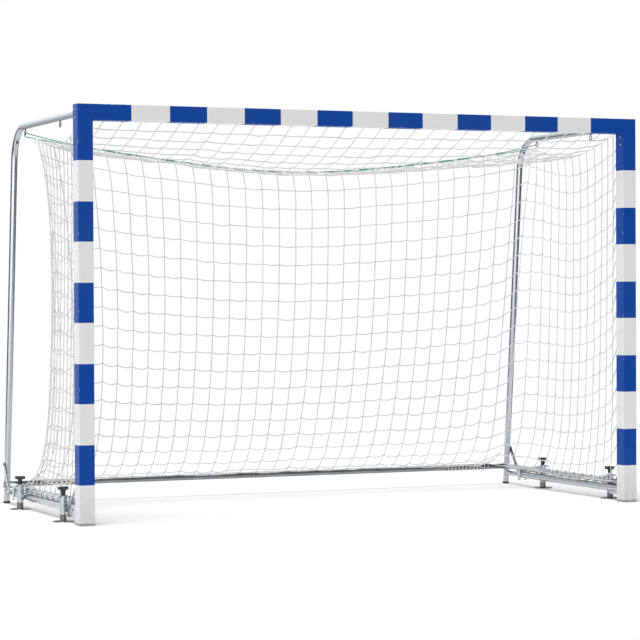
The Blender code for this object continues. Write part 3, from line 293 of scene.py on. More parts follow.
def striped_coat(name, axis):
    """Powder coat with bands counted from the corner, cloudy, chipped at the edges, grimy at the foot."""
    material, tree, shader = new_finish(name, WHITE, 0.34)
    place = object_place(tree)
    x, y, z = put(tree, "ShaderNodeSeparateXYZ", {0: place}).outputs
    beside = number(tree, "ABSOLUTE", x)
    if axis == "X":
        from_end = number(tree, "SUBTRACT", POST_X + HALF_PROFILE, beside)
        off_middle = number(tree, "SUBTRACT", z, ARM_HEIGHT)
    else:
        from_end = number(tree, "SUBTRACT", ARM_HEIGHT + HALF_PROFILE, z)
        off_middle = number(tree, "SUBTRACT", beside, POST_X)
    counted = number(tree, "DIVIDE", number(tree, "SUBTRACT", from_end, CORNER_BAND), BAND)
    even = number(tree, "LESS_THAN", number(tree, "FRACT", number(tree, "DIVIDE", counted, 2.0)), 0.5)
    white_share = number(tree, "MULTIPLY", even, number(tree, "GREATER_THAN", from_end, CORNER_BAND))
    colour = blend_colours(tree, white_share, BLUE, WHITE)
    at_border = number(tree, "LESS_THAN", number(tree, "PINGPONG", counted, 0.5), 0.0055)
    hairline = patches(tree, from_end, CORNER_BAND - 0.01, at_border)
    cloud = noise(tree, place, 3.5, 5.0)
    haze = number(tree, "MULTIPLY", number(tree, "SUBTRACT", cloud, 0.35), 0.045)
    colour = blend_colours(tree, haze, blend_colours(tree, hairline, colour, CREAM), (0.45, 0.46, 0.47))
    across = number(tree, "ABSOLUTE", off_middle)
    depth = number(tree, "ABSOLUTE", number(tree, "SUBTRACT", y, back(HALF_PROFILE)))
    chips = noise(tree, place, 42.0, 6.0)
    on_edge = patches(tree, number(tree, "MINIMUM", across, depth), EDGE_ZONE, 0.7)
    colour = blend_colours(tree, patches(tree, chips, 0.61, on_edge), colour, (0.55, 0.56, 0.57))
    if axis == "Z":
        up = number(tree, "SUBTRACT", 1.0, number(tree, "DIVIDE", z, GRIMY_FOOT))
        low = number(tree, "MAXIMUM", up, 0.0)
        grime = number(tree, "MULTIPLY", low, number(tree, "MULTIPLY", chips, 0.5))
        colour = blend_colours(tree, grime, colour, (0.28, 0.27, 0.25))
    peel = noise(tree, place, 650.0, 3.0)
    height = number(tree, "ADD", number(tree, "MULTIPLY", peel, 0.5),
                    number(tree, "MULTIPLY", white_share, -0.25))
    connect(tree, shader, colour, scaled(tree, cloud, 0.22, 0.24), height, 0.10, 0.0008)
    shader.inputs["Specular IOR Level"].default_value = 0.12
    return material


def dress(node, material):
    """Gives a CAD node that stays in view its finish."""
    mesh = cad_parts[node].data
    if not mesh.materials:
        mesh.materials.append(material)
    for i in range(len(mesh.materials)):
        mesh.materials[i] = material


def dress_both(node, material):
    for side_name, _ in SIDES:
        dress(side_name + "_" + node, material)


dress("crossbar", striped_coat("striped_coat_bar", "X"))
dress_both("post", striped_coat("striped_coat_post", "Z"))


# Corner castings and foot caps: sand cast aluminium angles inside the mitres, held by countersunk
# screws, and grey polypropylene plugs with a thick sole pressed into the open ends of the posts.
def cast_metal(name):
    material, tree, shader = new_finish(name, (0.62, 0.63, 0.65), 0.45, 0.9)
    place = object_place(tree)
    grain = noise(tree, place, 420.0, 6.0)
    stain = noise(tree, place, 24.0, 4.0)
    colour = blend_colours(tree, stain, (0.50, 0.51, 0.53), (0.70, 0.71, 0.72))
    connect(tree, shader, colour, scaled(tree, stain, 0.3, 0.30), grain, 0.25, 0.0006)
    return material


def beyond(tree, value, limit, gain):
    """How far a value passes a limit, times gain."""
    over = number(tree, "MAXIMUM", number(tree, "SUBTRACT", value, limit), 0.0)
    return number(tree, "MULTIPLY", over, gain)


def moulded(name, colour, roughness, texture):
    """Moulded plastic or rubber: fine spark texture and patches of pale dust."""
    material, tree, shader = new_finish(name, colour, roughness)
    place = object_place(tree)
    grain = put(tree, "ShaderNodeTexVoronoi", {"Vector": place, "Scale": texture}).outputs[0]
    dust = noise(tree, place, 55.0, 6.0)
    pale = tuple(min(1.0, c * 1.5 + 0.035) for c in colour)
    dusty = blend_colours(tree, beyond(tree, dust, 0.48, 3.0), colour, pale)
    connect(tree, shader, dusty, scaled(tree, dust, 0.25, roughness - 0.1), grain, 0.22, 0.0005)
    return material


dress_both("corner_connector", cast_metal("cast_aluminium"))
dress_both("post_foot_cap", moulded("grey_polypropylene", (0.30, 0.30, 0.31), 0.55, 900.0))


# Net hoops: round steel tube, 35 mm, hot dip galvanised after bending. Each leaves its socket on
# the post level, turns down in one bend and leans back to its leg.
TOP_SETBACK = 1.250
FOOT_SETBACK = 1.455
HOOP_RADIUS = 0.0175
HOOP_FRONT = 0.0866
HOOP_FOOT = 0.1221
LEAN = math.atan((FOOT_SETBACK - TOP_SETBACK) / ARM_HEIGHT)
BEND_RADIUS = 0.190
TURN = math.pi / 2 - LEAN
BEND_START = TOP_SETBACK - BEND_RADIUS * math.tan(TURN / 2)


def galvanised(name, dark, pale):
    """Zinc coat: crystals of different brightness, a cloudy patina and dull rubbed places."""
    material, tree, shader = new_finish(name, (0.60, 0.64, 0.66), 0.30, 1.0)
    place = object_place(tree)
    bent = put(tree, "ShaderNodeTexNoise", {"Vector": place, "Scale": 30.0, "Detail": 2.0}).outputs[1]
    moved = put(tree, "ShaderNodeVectorMath", {0: bent, 1: (0.012, 0.012, 0.012)},
                operation="MULTIPLY").outputs[0]
    warped = put(tree, "ShaderNodeVectorMath", {0: place, 1: moved}, operation="ADD").outputs[0]
    crystal = put(tree, "ShaderNodeTexVoronoi", {"Vector": warped, "Scale": 115.0}).outputs["Color"]
    spangle = put(tree, "ShaderNodeSeparateColor", {0: crystal}).outputs[0]
    cloud = noise(tree, place, 7.0, 6.0)
    tone = scaled(tree, cloud, 0.70, number(tree, "MULTIPLY", spangle, 0.30))
    colour = blend_colours(tree, tone, dark, pale)
    colour = blend_colours(tree, beyond(tree, cloud, 0.54, 2.0), colour, (0.40, 0.415, 0.405))
    height = number(tree, "ADD", number(tree, "MULTIPLY", spangle, 0.3), cloud)
    connect(tree, shader, colour, scaled(tree, tone, 0.16, 0.13), height, 0.025, 0.0006)
    return material


def extrude(x, y, z):
    bpy.ops.mesh.extrude_region_move(TRANSFORM_OT_translate={"value": (x, y, z)})


def make_active(obj):
    bpy.context.scene.collection.objects.link(obj)
    bpy.ops.object.select_all(action="DESELECT")
    obj.select_set(True)
    bpy.context.view_layer.objects.active = obj


def finish_piece(name, material, stands_for=(), body="frame", angle=35):
    """Closes edit mode and leaves the active piece at the origin, outside out, smooth and riding."""
    if bpy.context.mode != "OBJECT":
        bpy.ops.object.mode_set(mode="OBJECT")
    obj = bpy.context.object
    bpy.ops.object.transform_apply(location=True, rotation=True, scale=True)
    bpy.ops.object.mode_set(mode="EDIT")
    bpy.ops.mesh.select_all(action="SELECT")
    bpy.ops.mesh.remove_doubles(threshold=1e-6)
    bpy.ops.mesh.normals_make_consistent(inside=False)
    bpy.ops.object.mode_set(mode="OBJECT")
    bpy.ops.object.shade_smooth_by_angle(angle=math.radians(angle))
    obj.name = name
    obj.data.name = name
    obj.data.materials.clear()
    obj.data.materials.append(material)
    attach(obj, stands_for, body)
    bpy.ops.object.select_all(action="DESELECT")
    return obj


def copy_piece(obj, name, stands_for=(), body="frame", shift=None):
    """The same piece with its own mesh, moved by the shift or else mirrored to the goal's other side."""
    make_active(bpy.data.objects.new(name, obj.data.copy()))
    if shift:
        bpy.ops.transform.translate(value=shift)
    else:
        bpy.ops.transform.mirror(orient_type="GLOBAL", constraint_axis=(True, False, False),
                                 center_override=(0, 0, 0))
    return finish_piece(name, obj.data.materials[0], stands_for, body)


def finish_pair(piece, material, node=None):
    """Finishes the active piece as the left one and adds the right one, its mirror image."""
    left, right = [("left_" + node,), ("right_" + node,)] if node else [(), ()]
    copy_piece(finish_piece("left_" + piece, material, left), "right_" + piece, right)


def up_leg(height):
    """A point on the hoop's lower leg, this far up along it from the floor."""
    return Vector((-POST_X, back(FOOT_SETBACK) - height * math.sin(LEAN), height * math.cos(LEAN)))


zinc = galvanised("galvanised_zinc", (0.43, 0.465, 0.49), (0.55, 0.59, 0.62))
bpy.ops.mesh.primitive_circle_add(vertices=36, radius=HOOP_RADIUS, rotation=(math.pi / 2, 0, 0),
                                  location=(-POST_X, back(HOOP_FRONT), ARM_HEIGHT))
bpy.ops.object.mode_set(mode="EDIT")
bpy.ops.mesh.select_all(action="SELECT")
extrude(0, BEND_START - HOOP_FRONT, 0)
bpy.ops.mesh.spin(steps=26, angle=TURN, center=(-POST_X, back(BEND_START), ARM_HEIGHT - BEND_RADIUS),
                  axis=(1, 0, 0))
bend_end = Vector((-POST_X, back(BEND_START) + BEND_RADIUS * math.sin(TURN),
                   ARM_HEIGHT - BEND_RADIUS + BEND_RADIUS * math.cos(TURN)))
extrude(*(up_leg(HOOP_FOOT) - bend_end))
bpy.ops.mesh.select_all(action="DESELECT")
bpy.ops.mesh.select_mode(type="EDGE")
bpy.ops.mesh.select_non_manifold()
bpy.ops.mesh.edge_face_add()
finish_pair("hoop_tube", zinc, "net_hoop")


# Brackets on the posts: a 6 mm plate behind each post, 72 x 60 mm, with a short socket welded on
# that the hoop's arm stands in, galvanised as one, and two hexagon bolts into the groove.
PLATE_FRONT, PLATE_BACK = 0.0803, 0.0863
SOCKET_REAR = 0.1463


def weld(at, radius, bead, axis):
    """In edit mode: adds a hand laid weld bead round a tube, lumpy as the real one."""
    bpy.ops.mesh.select_all(action="DESELECT")
    around = {"Y": (math.pi / 2, 0, 0), "X": (0, math.pi / 2, 0)}[axis]
    bpy.ops.mesh.primitive_torus_add(major_segments=40, minor_segments=6, major_radius=radius,
                                     minor_radius=bead, location=at, rotation=around)
    bpy.ops.transform.vertex_random(offset=bead * 0.28, seed=7)


def bevel(offset, segments):
    bpy.ops.mesh.bevel(offset=offset, segments=segments, affect="EDGES")


def rounded_plate(low, high, along, radius):
    """In edit mode: adds a flat plate whose outline corners are rounded; along is its thin axis."""
    bpy.ops.mesh.select_all(action="DESELECT")
    middle = [(a + b) / 2 for a, b in zip(low, high)]
    size = [b - a for a, b in zip(low, high)]
    bpy.ops.mesh.primitive_cube_add(size=1, location=middle, scale=size)
    mesh = bmesh.from_edit_mesh(bpy.context.object.data)
    new = {edge for edge in mesh.edges if edge.select}
    bpy.ops.mesh.select_mode(type="EDGE")
    for edge in mesh.edges:
        run = edge.verts[1].co - edge.verts[0].co
        edge.select_set(edge in new and abs(run["XYZ".index(along)]) > 0.7 * run.length)
    bmesh.update_edit_mesh(bpy.context.object.data)
    bevel(radius, 4)


def round_bar(start, end, radius, sides=32, bore=None):
    """In edit mode: adds a round bar, or a tube with an open mouth at its start, between two points."""
    bpy.ops.mesh.select_all(action="DESELECT")
    start, end = Vector(start), Vector(end)
    around = (start - end).to_track_quat("Z", "Y").to_euler()
    bpy.ops.mesh.primitive_cylinder_add(vertices=sides, radius=radius, depth=(end - start).length,
                                        location=(start + end) / 2, rotation=around)
    if bore:
        mesh = bmesh.from_edit_mesh(bpy.context.object.data)
        heading = (start - end).normalized()
        bpy.ops.mesh.select_mode(type="FACE")
        for face in mesh.faces:
            mouth = (face.calc_center_median() - start).length < 1e-4
            face.select_set(face.select and mouth and face.normal.dot(heading) > 0.9)
        bmesh.update_edit_mesh(bpy.context.object.data)
        bpy.ops.mesh.inset(thickness=radius - bore)
        extrude(*(-heading * 1.6 * radius))


def blank():
    """An empty piece in edit mode, for what is built up from several shapes."""
    make_active(bpy.data.objects.new("blank", bpy.data.meshes.new("blank")))
    bpy.ops.object.mode_set(mode="EDIT")


def hexagon_bolt(at, direction, size, height):
    """In edit mode: adds a washer and a chamfered hexagon head that face this way."""
    around = Vector(direction).to_track_quat("Z", "Y").to_euler()
    for sides, radius, foot, top, edge in ((28, size * 1.35, 0.0, 0.0012, 0.0003),
                                           (6, size, 0.0012, height + 0.0012, 0.0007)):
        bpy.ops.mesh.select_all(action="DESELECT")
        centre = Vector(at) + Vector(direction) * (foot + top) / 2
        bpy.ops.mesh.primitive_cylinder_add(vertices=sides, radius=radius, depth=top - foot,
                                            location=centre, rotation=around)
        bevel(edge, 2)


def plated(name, colour, tint, thread=None):
    """Zinc plate with a passivation tint that drifts in colour, and a cut thread where asked."""
    material, tree, shader = new_finish(name, colour, 0.30, 0.9)
    place = object_place(tree)
    height = specks = noise(tree, place, 340.0, 4.0)
    drift = beyond(tree, noise(tree, place, 38.0, 4.0), 0.38, 3.2)
    mixed = blend_colours(tree, drift, colour, tint)
    mixed = blend_colours(tree, patches(tree, specks, 0.64, 0.5), mixed, tuple(c * 0.4 for c in colour))
    if thread:
        up_axis = put(tree, "ShaderNodeSeparateXYZ", {0: place}).outputs[2]
        height = number(tree, "PINGPONG", number(tree, "DIVIDE", up_axis, thread), 0.5)
    connect(tree, shader, mixed, scaled(tree, specks, 0.3, 0.20), height, 0.9 if thread else 0.12, 0.0008)
    return material


dark_steel = plated("dark_steel", (0.055, 0.055, 0.06), (0.12, 0.11, 0.10))
dress_both("hoop_bolt", dark_steel)
blank()
rounded_plate((-POST_X - 0.036, back(PLATE_FRONT), ARM_HEIGHT - 0.030),
              (-POST_X + 0.036, back(PLATE_BACK), ARM_HEIGHT + 0.030), "Y", 0.006)
round_bar((-POST_X, back(SOCKET_REAR), ARM_HEIGHT), (-POST_X, back(0.0860), ARM_HEIGHT), 0.0221, 36, 0.0179)
weld((-POST_X, back(0.0868), ARM_HEIGHT), 0.0226, 0.0020, "Y")
finish_pair("post_socket", zinc, "top_bracket")
blank()
for aside in (-0.029, 0.029):
    hexagon_bolt((-POST_X + aside, back(PLATE_BACK), ARM_HEIGHT), (0, 1, 0), 0.0062, 0.0040)
finish_pair("socket_bolts", plated("plated_bolts", (0.56, 0.57, 0.58), (0.66, 0.64, 0.56)))


# Rear legs: the hoop stands on a turned leg, 34 mm, whose thinner end goes up into it and whose
# stub goes forward into the rail. A ribbed black rubber cap is pressed on the foot.
RAIL_HEIGHT = 0.066
LEG_RADIUS = 0.01685
LEG_SHOULDER = 0.0880
SPIGOT_RADIUS = 0.0145
STUB_RADIUS = 0.01345
STUB_REAR = FOOT_SETBACK - RAIL_HEIGHT * math.tan(LEAN)
CAP_RADIUS = 0.01885
CAP_HEIGHT = 0.012


def faces_where(test):
    """In edit mode: leaves selected only the faces whose centre and normal pass the test."""
    bpy.ops.mesh.select_mode(type="FACE")
    bpy.ops.mesh.select_all(action="DESELECT")
    mesh = bmesh.from_edit_mesh(bpy.context.object.data)
    for face in mesh.faces:
        face.select_set(bool(test(face.calc_center_median(), face.normal)))
    bmesh.update_edit_mesh(bpy.context.object.data)


def edges_where(test):
    bpy.ops.mesh.select_mode(type="EDGE")
    bpy.ops.mesh.select_all(action="DESELECT")
    mesh = bmesh.from_edit_mesh(bpy.context.object.data)
    for edge in mesh.edges:
        edge.select_set(bool(test(edge.verts[0].co, edge.verts[1].co, edge)))
    bmesh.update_edit_mesh(bpy.context.object.data)


def is_level(a, b):
    return abs(a.z - b.z) < 1e-5


blank()
round_bar(up_leg(LEG_SHOULDER), up_leg(0.0065), LEG_RADIUS, 36)
round_bar(up_leg(0.1300), up_leg(LEG_SHOULDER - 0.0010), SPIGOT_RADIUS)
round_bar((-POST_X, back(1.215), RAIL_HEIGHT), (-POST_X, back(STUB_REAR), RAIL_HEIGHT), STUB_RADIUS)
weld((-POST_X, back(STUB_REAR - 0.0160), RAIL_HEIGHT), 0.0140, 0.0020, "Y")
finish_pair("turned_leg", zinc, "rear_leg")

bpy.ops.mesh.primitive_cylinder_add(vertices=40, radius=CAP_RADIUS, depth=CAP_HEIGHT,
                                    location=(-POST_X, back(FOOT_SETBACK), CAP_HEIGHT / 2))
bpy.ops.object.mode_set(mode="EDIT")
faces_where(lambda at, facing: facing.z > 0.9)
bpy.ops.mesh.inset(thickness=0.0017)
extrude(0, 0, -0.004)
faces_where(lambda at, facing: abs(facing.z) < 0.1 and math.hypot(at.x, at.y) > 0.0185)
bpy.ops.mesh.subdivide(number_cuts=2)
edges_where(lambda a, b, edge: is_level(a, b) and a.z < -0.0055 and edge.calc_face_angle(0) > 1)
bevel(0.0012, 3)
edges_where(lambda a, b, edge: is_level(a, b) and abs(a.z) < 0.003 and math.hypot(a.x, a.y) > 0.0186)
bevel(0.0006, 1)
finish_pair("leg_boot", moulded("black_rubber", (0.035, 0.033, 0.030), 0.78, 700.0), "leg_cap")
dress_both("brace", zinc)


# Ground rails: steel tube, 38 mm, galvanised, from the angle bracket on the post to a pierced disc
# welded in the rear end, which the leg's stub slides through. The brackets are welded from flat bar.
RAIL_REAR = 1.268
blank()
round_bar((-POST_X, back(0.0866), RAIL_HEIGHT), (-POST_X, back(RAIL_REAR), RAIL_HEIGHT), 0.0190, 44, 0.0165)
weld((-POST_X, back(RAIL_REAR - 0.0015), RAIL_HEIGHT), 0.0172, 0.0014, "Y")
finish_pair("rail_tube", zinc, "ground_rail")
dress_both("front_bracket", zinc)


# Net frame: tube, 30 mm, that lies on the rails and runs across the back. Rings at its corners slip
# over the legs, its side tubes plug on the spigots, and a fork under each straddles the rail. The
# rear tube's zinc is a darker copy of the rest, which paints in the shade and dark reflections it shows.
TUBE_RADIUS = 0.0150
TUBE_HEIGHT = 0.105
CORNER = FOOT_SETBACK - TUBE_HEIGHT * math.tan(LEAN)
RING_RADIUS = 0.0210
RING_HEIGHT = 0.0335
SIDE_REAR = CORNER - (RING_RADIUS + RING_HEIGHT / 2 * math.tan(LEAN) + 0.0006)
FORK_SETBACK = 1.247
FORK_ROOT = 0.0853
FORK_FOOT = 0.033
FORK_INSIDE = 0.0193
blank()
round_bar((-POST_X + 0.019, back(CORNER), TUBE_HEIGHT), (POST_X - 0.019, back(CORNER), TUBE_HEIGHT),
          TUBE_RADIUS, 40)
for _, sign in SIDES:
    low, high = up_leg(0.0883), up_leg(0.1218)
    low.x = high.x = beside = sign * POST_X
    round_bar(high, low, RING_RADIUS, 40, 0.0149)
    round_bar((beside, back(CORNER - 0.0195), TUBE_HEIGHT),
              (beside, back(CORNER - 0.075), TUBE_HEIGHT), 0.0122, 28)
    weld((sign * (POST_X - 0.0215), back(CORNER), TUBE_HEIGHT), 0.0152, 0.0018, "X")
    weld((beside, back(CORNER - 0.0212), TUBE_HEIGHT), 0.0124, 0.0016, "Y")
# A darker copy of the zinc for the rear tube: painted shade and painted dark reflections.
painted_shade_zinc = galvanised("galvanised_zinc_painted_shade", (0.20, 0.22, 0.235), (0.30, 0.325, 0.345))
finish_piece("rear_cross_tube", painted_shade_zinc, ("rear_tube",))
blank()
for _, sign in SIDES:
    hexagon_bolt((sign * (POST_X - 0.032), back(CORNER - 0.0148), TUBE_HEIGHT), (0, -1, 0), 0.0042, 0.0022)
finish_piece("rear_tube_screws", dark_steel)

blank()
round_bar((-POST_X, back(0.190), TUBE_HEIGHT), (-POST_X, back(SIDE_REAR), TUBE_HEIGHT),
          TUBE_RADIUS, 40, 0.0125)
bpy.ops.mesh.select_all(action="DESELECT")
bpy.ops.mesh.primitive_cube_add(size=1, location=(-POST_X, back(FORK_SETBACK), 0.08877),
                                scale=(0.0466, 0.030, 0.00694))
for aside in (-FORK_INSIDE, FORK_INSIDE):
    bpy.ops.mesh.bisect(plane_co=(-POST_X + aside, 0, 0), plane_no=(1, 0, 0))
    faces_where(lambda at, facing: abs(at.y - back(FORK_SETBACK)) < 0.016 and at.z < 0.0923)
faces_where(lambda at, facing: facing.z < -0.9 and abs(at.z - FORK_ROOT) < 1e-4
            and abs(at.x + POST_X) > FORK_INSIDE)
extrude(0, 0, FORK_FOOT - FORK_ROOT)
edges_where(lambda a, b, edge: max(a.z, b.z) < FORK_FOOT + 0.001 and abs(a.y - b.y) < 1e-5)
bevel(0.0012, 2)
finish_pair("side_frame_tube", zinc, "side_tube")


# Screw clamps: a sleeve welded to the rail, a turned foot plate on the floor, a bent clamp plate
# that holds the side tube down, and a black five lobed knob on a threaded spindle.
CLAMP_X = 1.5773
CLAMP_SETBACKS = {"front": 0.284, "rear": 1.061}
FRONT_Y = back(CLAMP_SETBACKS["front"])
THREAD_PITCH = 0.00175
KNOB_FOOT = 0.1344
KNOB_TOP = 0.1764
KNOB_DEPTH = 0.016
LOBES = 5
LOBE_REACH = 0.56


def bearing_from(vertex, lobe):
    """The angle from the middle of the hollow beside a lobe to a vertex of the knob."""
    bearing = math.atan2(vertex.co.y, vertex.co.x) - 2 * math.pi * (lobe + 0.5) / LOBES
    return abs((bearing + math.pi) % (2 * math.pi) - math.pi)


blank()
round_bar((-CLAMP_X, FRONT_Y, 0.1293), (-CLAMP_X, FRONT_Y, 0.0363), 0.0180, 40, 0.0135)
for height in np.linspace(0.052, 0.080, 9):
    bpy.ops.mesh.select_all(action="DESELECT")
    bpy.ops.mesh.primitive_ico_sphere_add(subdivisions=1, radius=0.0030,
                                          location=(-1.5592, FRONT_Y - 0.0050, height))
    bpy.ops.transform.vertex_random(offset=0.0006, seed=int(height * 1e4))
first_sleeve = finish_piece("left_front_sleeve_tube", zinc, ("left_front_clamp_sleeve",))

bpy.ops.mesh.primitive_cylinder_add(vertices=56, radius=0.0545, depth=0.0015,
                                    location=(-CLAMP_X, FRONT_Y, 0.00075))
bpy.ops.object.mode_set(mode="EDIT")
faces_where(lambda at, facing: facing.z > 0.9)
for rise, narrowing, rim in ((0.0025, 0.954, 0.0325), (0.0015, 0.86, None), (0.0290, None, None),
                             (0.0015, 0.90, 0.0078), (-0.0290, None, None)):
    extrude(0, 0, rise)
    if narrowing:
        bpy.ops.transform.resize(value=(narrowing, narrowing, 1))
    if rim:
        bpy.ops.mesh.inset(thickness=rim)
disc_finish = plated("yellow_disc", (0.21, 0.20, 0.18), (0.16, 0.145, 0.11))
first_disc = finish_piece("left_front_foot_disc", disc_finish, ("left_front_floor_plate",))

knob_centre = (-CLAMP_X, FRONT_Y, KNOB_TOP - KNOB_DEPTH / 2)
bpy.ops.mesh.primitive_cylinder_add(vertices=40, radius=0.029, depth=KNOB_DEPTH, location=knob_centre)
bpy.ops.object.mode_set(mode="EDIT")
bpy.ops.mesh.select_all(action="SELECT")
knob = bpy.context.object
star = bmesh.from_edit_mesh(knob.data)
for lobe in range(LOBES):
    bpy.ops.mesh.select_mode(type="VERT")
    bpy.ops.mesh.select_all(action="DESELECT")
    for reach, share in ((LOBE_REACH, 0.93), (0.42, 0.90), (0.25, 0.93)):
        for vertex in star.verts:
            vertex.select_set(bearing_from(vertex, lobe) < reach)
        bmesh.update_edit_mesh(knob.data)
        bpy.ops.transform.resize(value=(share, share, 1), center_override=knob_centre)
faces_where(lambda at, facing: facing.z > 0.9)
bpy.ops.mesh.inset(thickness=0.0035)
bpy.ops.mesh.inset(thickness=0.0035)
bpy.ops.transform.translate(value=(0, 0, -0.0012))
faces_where(lambda at, facing: facing.z < -0.9)
bpy.ops.mesh.inset(thickness=0.0040)
extrude(0, 0, 0.0055)
edges_where(lambda a, b, edge: is_level(a, b) and abs(abs(a.z) - KNOB_DEPTH / 2) < 1e-4
            and edge.calc_face_angle(0) > 1.2)
bevel(0.0022, 4)
bpy.ops.mesh.select_all(action="DESELECT")
bpy.ops.mesh.primitive_cone_add(vertices=36, radius1=0.0105, radius2=0.0135, depth=0.0330,
                                location=(-CLAMP_X, FRONT_Y, KNOB_FOOT + 0.0165))
bevel(0.0008, 2)
first_knob = finish_piece("left_front_star_knob", moulded("black_nylon", (0.010, 0.010, 0.011), 0.42, 1100.0),
                          ("left_front_knob",), "left_front_screw", 40)

spindle_finish = plated("yellow_passivated", (0.52, 0.46, 0.30), (0.46, 0.47, 0.38), THREAD_PITCH)
sleeve = first_sleeve
for end_name, setback in CLAMP_SETBACKS.items():
    for side_name, sign in SIDES:
        name = side_name + "_" + end_name
        dress(name + "_clamp_plate", zinc)
        dress(name + "_spindle", spindle_finish)
        if name == "left_front":
            continue
        shift = ((1 + sign) * CLAMP_X, back(setback) - FRONT_Y, 0)
        source, way = (sleeve, None) if sign > 0 else (first_sleeve, shift)
        sleeve = copy_piece(source, name + "_sleeve_tube", (name + "_clamp_sleeve",), shift=way)
        copy_piece(first_disc, name + "_foot_disc", (name + "_floor_plate",), shift=shift)
        copy_piece(first_knob, name + "_star_knob", (name + "_knob",), name + "_screw",
                   shift)


# Hooks: eyes bent from 5 mm steel wire, closed, with a collar under the thread. They are blackened
# and screwed up into the arms of the hoops; the rear ones hold the tension cord.
HOOK_SETBACKS = {"front": 0.420, "rear": CORD_SETBACK}
HOOK_Y = back(HOOK_SETBACKS["front"])
HOOK_TOP = 2.0222
COLLAR_FOOT = 2.0205
WIRE = 0.0025
blank()
round_bar((-POST_X, HOOK_Y, HOOK_TOP), (-POST_X, HOOK_Y, 2.0140), WIRE, 16)
round_bar((-POST_X, HOOK_Y, HOOK_TOP), (-POST_X, HOOK_Y, COLLAR_FOOT), 0.0055, 20)
bpy.ops.mesh.select_all(action="DESELECT")
bpy.ops.mesh.primitive_torus_add(major_segments=44, minor_segments=12, major_radius=0.0125, minor_radius=WIRE,
                                 location=(-POST_X, HOOK_Y, 2.0037), rotation=(0, math.pi / 2, 0))
edges_where(lambda a, b, edge: max(abs(a.z - COLLAR_FOOT), abs(b.z - COLLAR_FOOT)) < 1e-4)
bevel(0.0004, 1)
first_hook = finish_piece("left_front_eye", dark_steel, ("left_front_hook",))
for end_name, setback in HOOK_SETBACKS.items():
    for side_name, sign in SIDES:
        name = side_name + "_" + end_name
        if name != "left_front":
            shift = ((1 + sign) * POST_X, back(setback) - HOOK_Y, 0)
            copy_piece(first_hook, name + "_eye", (name + "_hook",), shift=shift)


# Net: white knotted polypropylene cord, 5 to 6 mm, in meshes of 100 mm. Four panels are laced
# together at their edges, hung from clips in the frame's groove and from the tension cord, and
# tied down to the net frame.
NET_RADIUS = 0.0029
EDGE_ROPE_RADIUS = 0.0023
NET_FRONT = 0.0856
NET_TOP = 2.005
NET_SIDE = 1.51759
SIDE_FOOT_TURN = 1.20
ROOF_SAG = 0.086
CORNER_ROUTE = ((1.490, 1.0545, 1.9735), (1.475, 1.012, 1.920), (1.452, 0.991, 1.800), (1.423, 0.985, 1.600),
                (1.400, 0.984, 1.400), (1.385, 0.989, 1.200), (1.373, 0.999, 1.000), (1.366, 1.015, 0.800),
                (1.361, 1.038, 0.600), (1.363, 1.080, 0.400), (1.370, 1.130, 0.285), (1.380, 1.200, 0.215),
                (1.394, 1.300, 0.165), (1.410, 1.438, 0.1235))
CORNER_X, CORNER_FRONT, CORNER_TOP = CORNER_ROUTE[0]
REAR_X, FOOT_BACK, FOOT_HEIGHT = CORNER_ROUTE[-1]
ROWS, COLUMNS, TOP_ROWS, SIDE_COLUMNS = 20, 30, 10, 13
net_white = braided("white_net_braid", (0.76, 0.76, 0.755), (0.57, 0.57, 0.57), 0.0060, 0.85,
                    (0.84, 0.84, 0.84))
chance = np.random.default_rng(20)


def corner_seam(fall):
    """Where side and back net are laced together: it hangs from the cord, drawn forward and inward,
    and sweeps back to the rear tube just above the floor. Fall is measured along it."""
    line = np.array(CORNER_ROUTE)
    for smoothing in range(3):
        near, far = line[:-1], line[1:]
        between = np.stack((near * 0.75 + far * 0.25, near * 0.25 + far * 0.75), 1).reshape(-1, 3)
        line = np.concatenate((line[:1], between, line[-1:]))
    run = np.concatenate(((0,), np.cumsum(np.linalg.norm(np.diff(line, axis=0), axis=1))))
    return np.stack([np.interp(fall, run / run[-1], line[:, axis]) for axis in range(3)], -1)


def roof_seam(share):
    """Where side and top net are laced together, hanging between the post's top and the cord."""
    share = np.asarray(share, float)[..., None]
    start = np.array((NET_SIDE, NET_FRONT, NET_TOP))
    drop = ROOF_SAG * (4 * share * (1 - share)) ** 1.7
    return start + (corner_seam(0.0) - start) * share - drop * (0, 0, 1)


def foot_line(share):
    """The side net's lower edge, along the side tube and then across to the corner seam."""
    start = np.array((NET_SIDE, NET_FRONT, TUBE_HEIGHT))
    turn = np.array((NET_SIDE, SIDE_FOOT_TURN, TUBE_HEIGHT))
    share = np.asarray(share, float)[..., None]
    bend = (SIDE_FOOT_TURN - NET_FRONT) / (FOOT_BACK - NET_FRONT)
    after = turn + (corner_seam(1.0) - turn) * (share - bend) / (1 - bend)
    return np.where(share < bend, start + (turn - start) * share / bend, after)


def post_line(share):
    share = np.asarray(share, float)[..., None]
    return np.array((NET_SIDE, NET_FRONT, NET_TOP)) + share * np.array((0, 0, TUBE_HEIGHT - NET_TOP))


def bar_row(share):
    """The top net's front edge behind the crossbar, from left to right."""
    x = (2 * np.asarray(share, float) - 1) * NET_SIDE
    return np.stack((x, 0 * x + NET_FRONT, 0 * x + NET_TOP), -1)


def cord_row(share):
    """The tension cord, which back and top net hang from, from left to right."""
    x = (2 * np.asarray(share, float) - 1) * CORNER_X
    return np.stack((x, 0 * x + CORNER_FRONT, cord_height(x)), -1)


def stretched(top_line, bottom_line, first, last, share, pull=(1, 1, 1)):
    """Knots between four edges; share says how far across each one stands, from first to last, and
    pull how soon the last edge's bend fades away from it along each axis."""
    v = np.linspace(0, 1, len(first))[:, None]
    first_bend = first - (1 - v) * first[0] - v * first[-1]
    last_bend = last - (1 - v) * last[0] - v * last[-1]
    w = share[..., None]
    straight = (1 - v[:, None]) * top_line(share) + v[:, None] * bottom_line(share)
    return straight + (1 - w) * first_bend[:, None] + w ** np.array(pull) * last_bend[:, None]


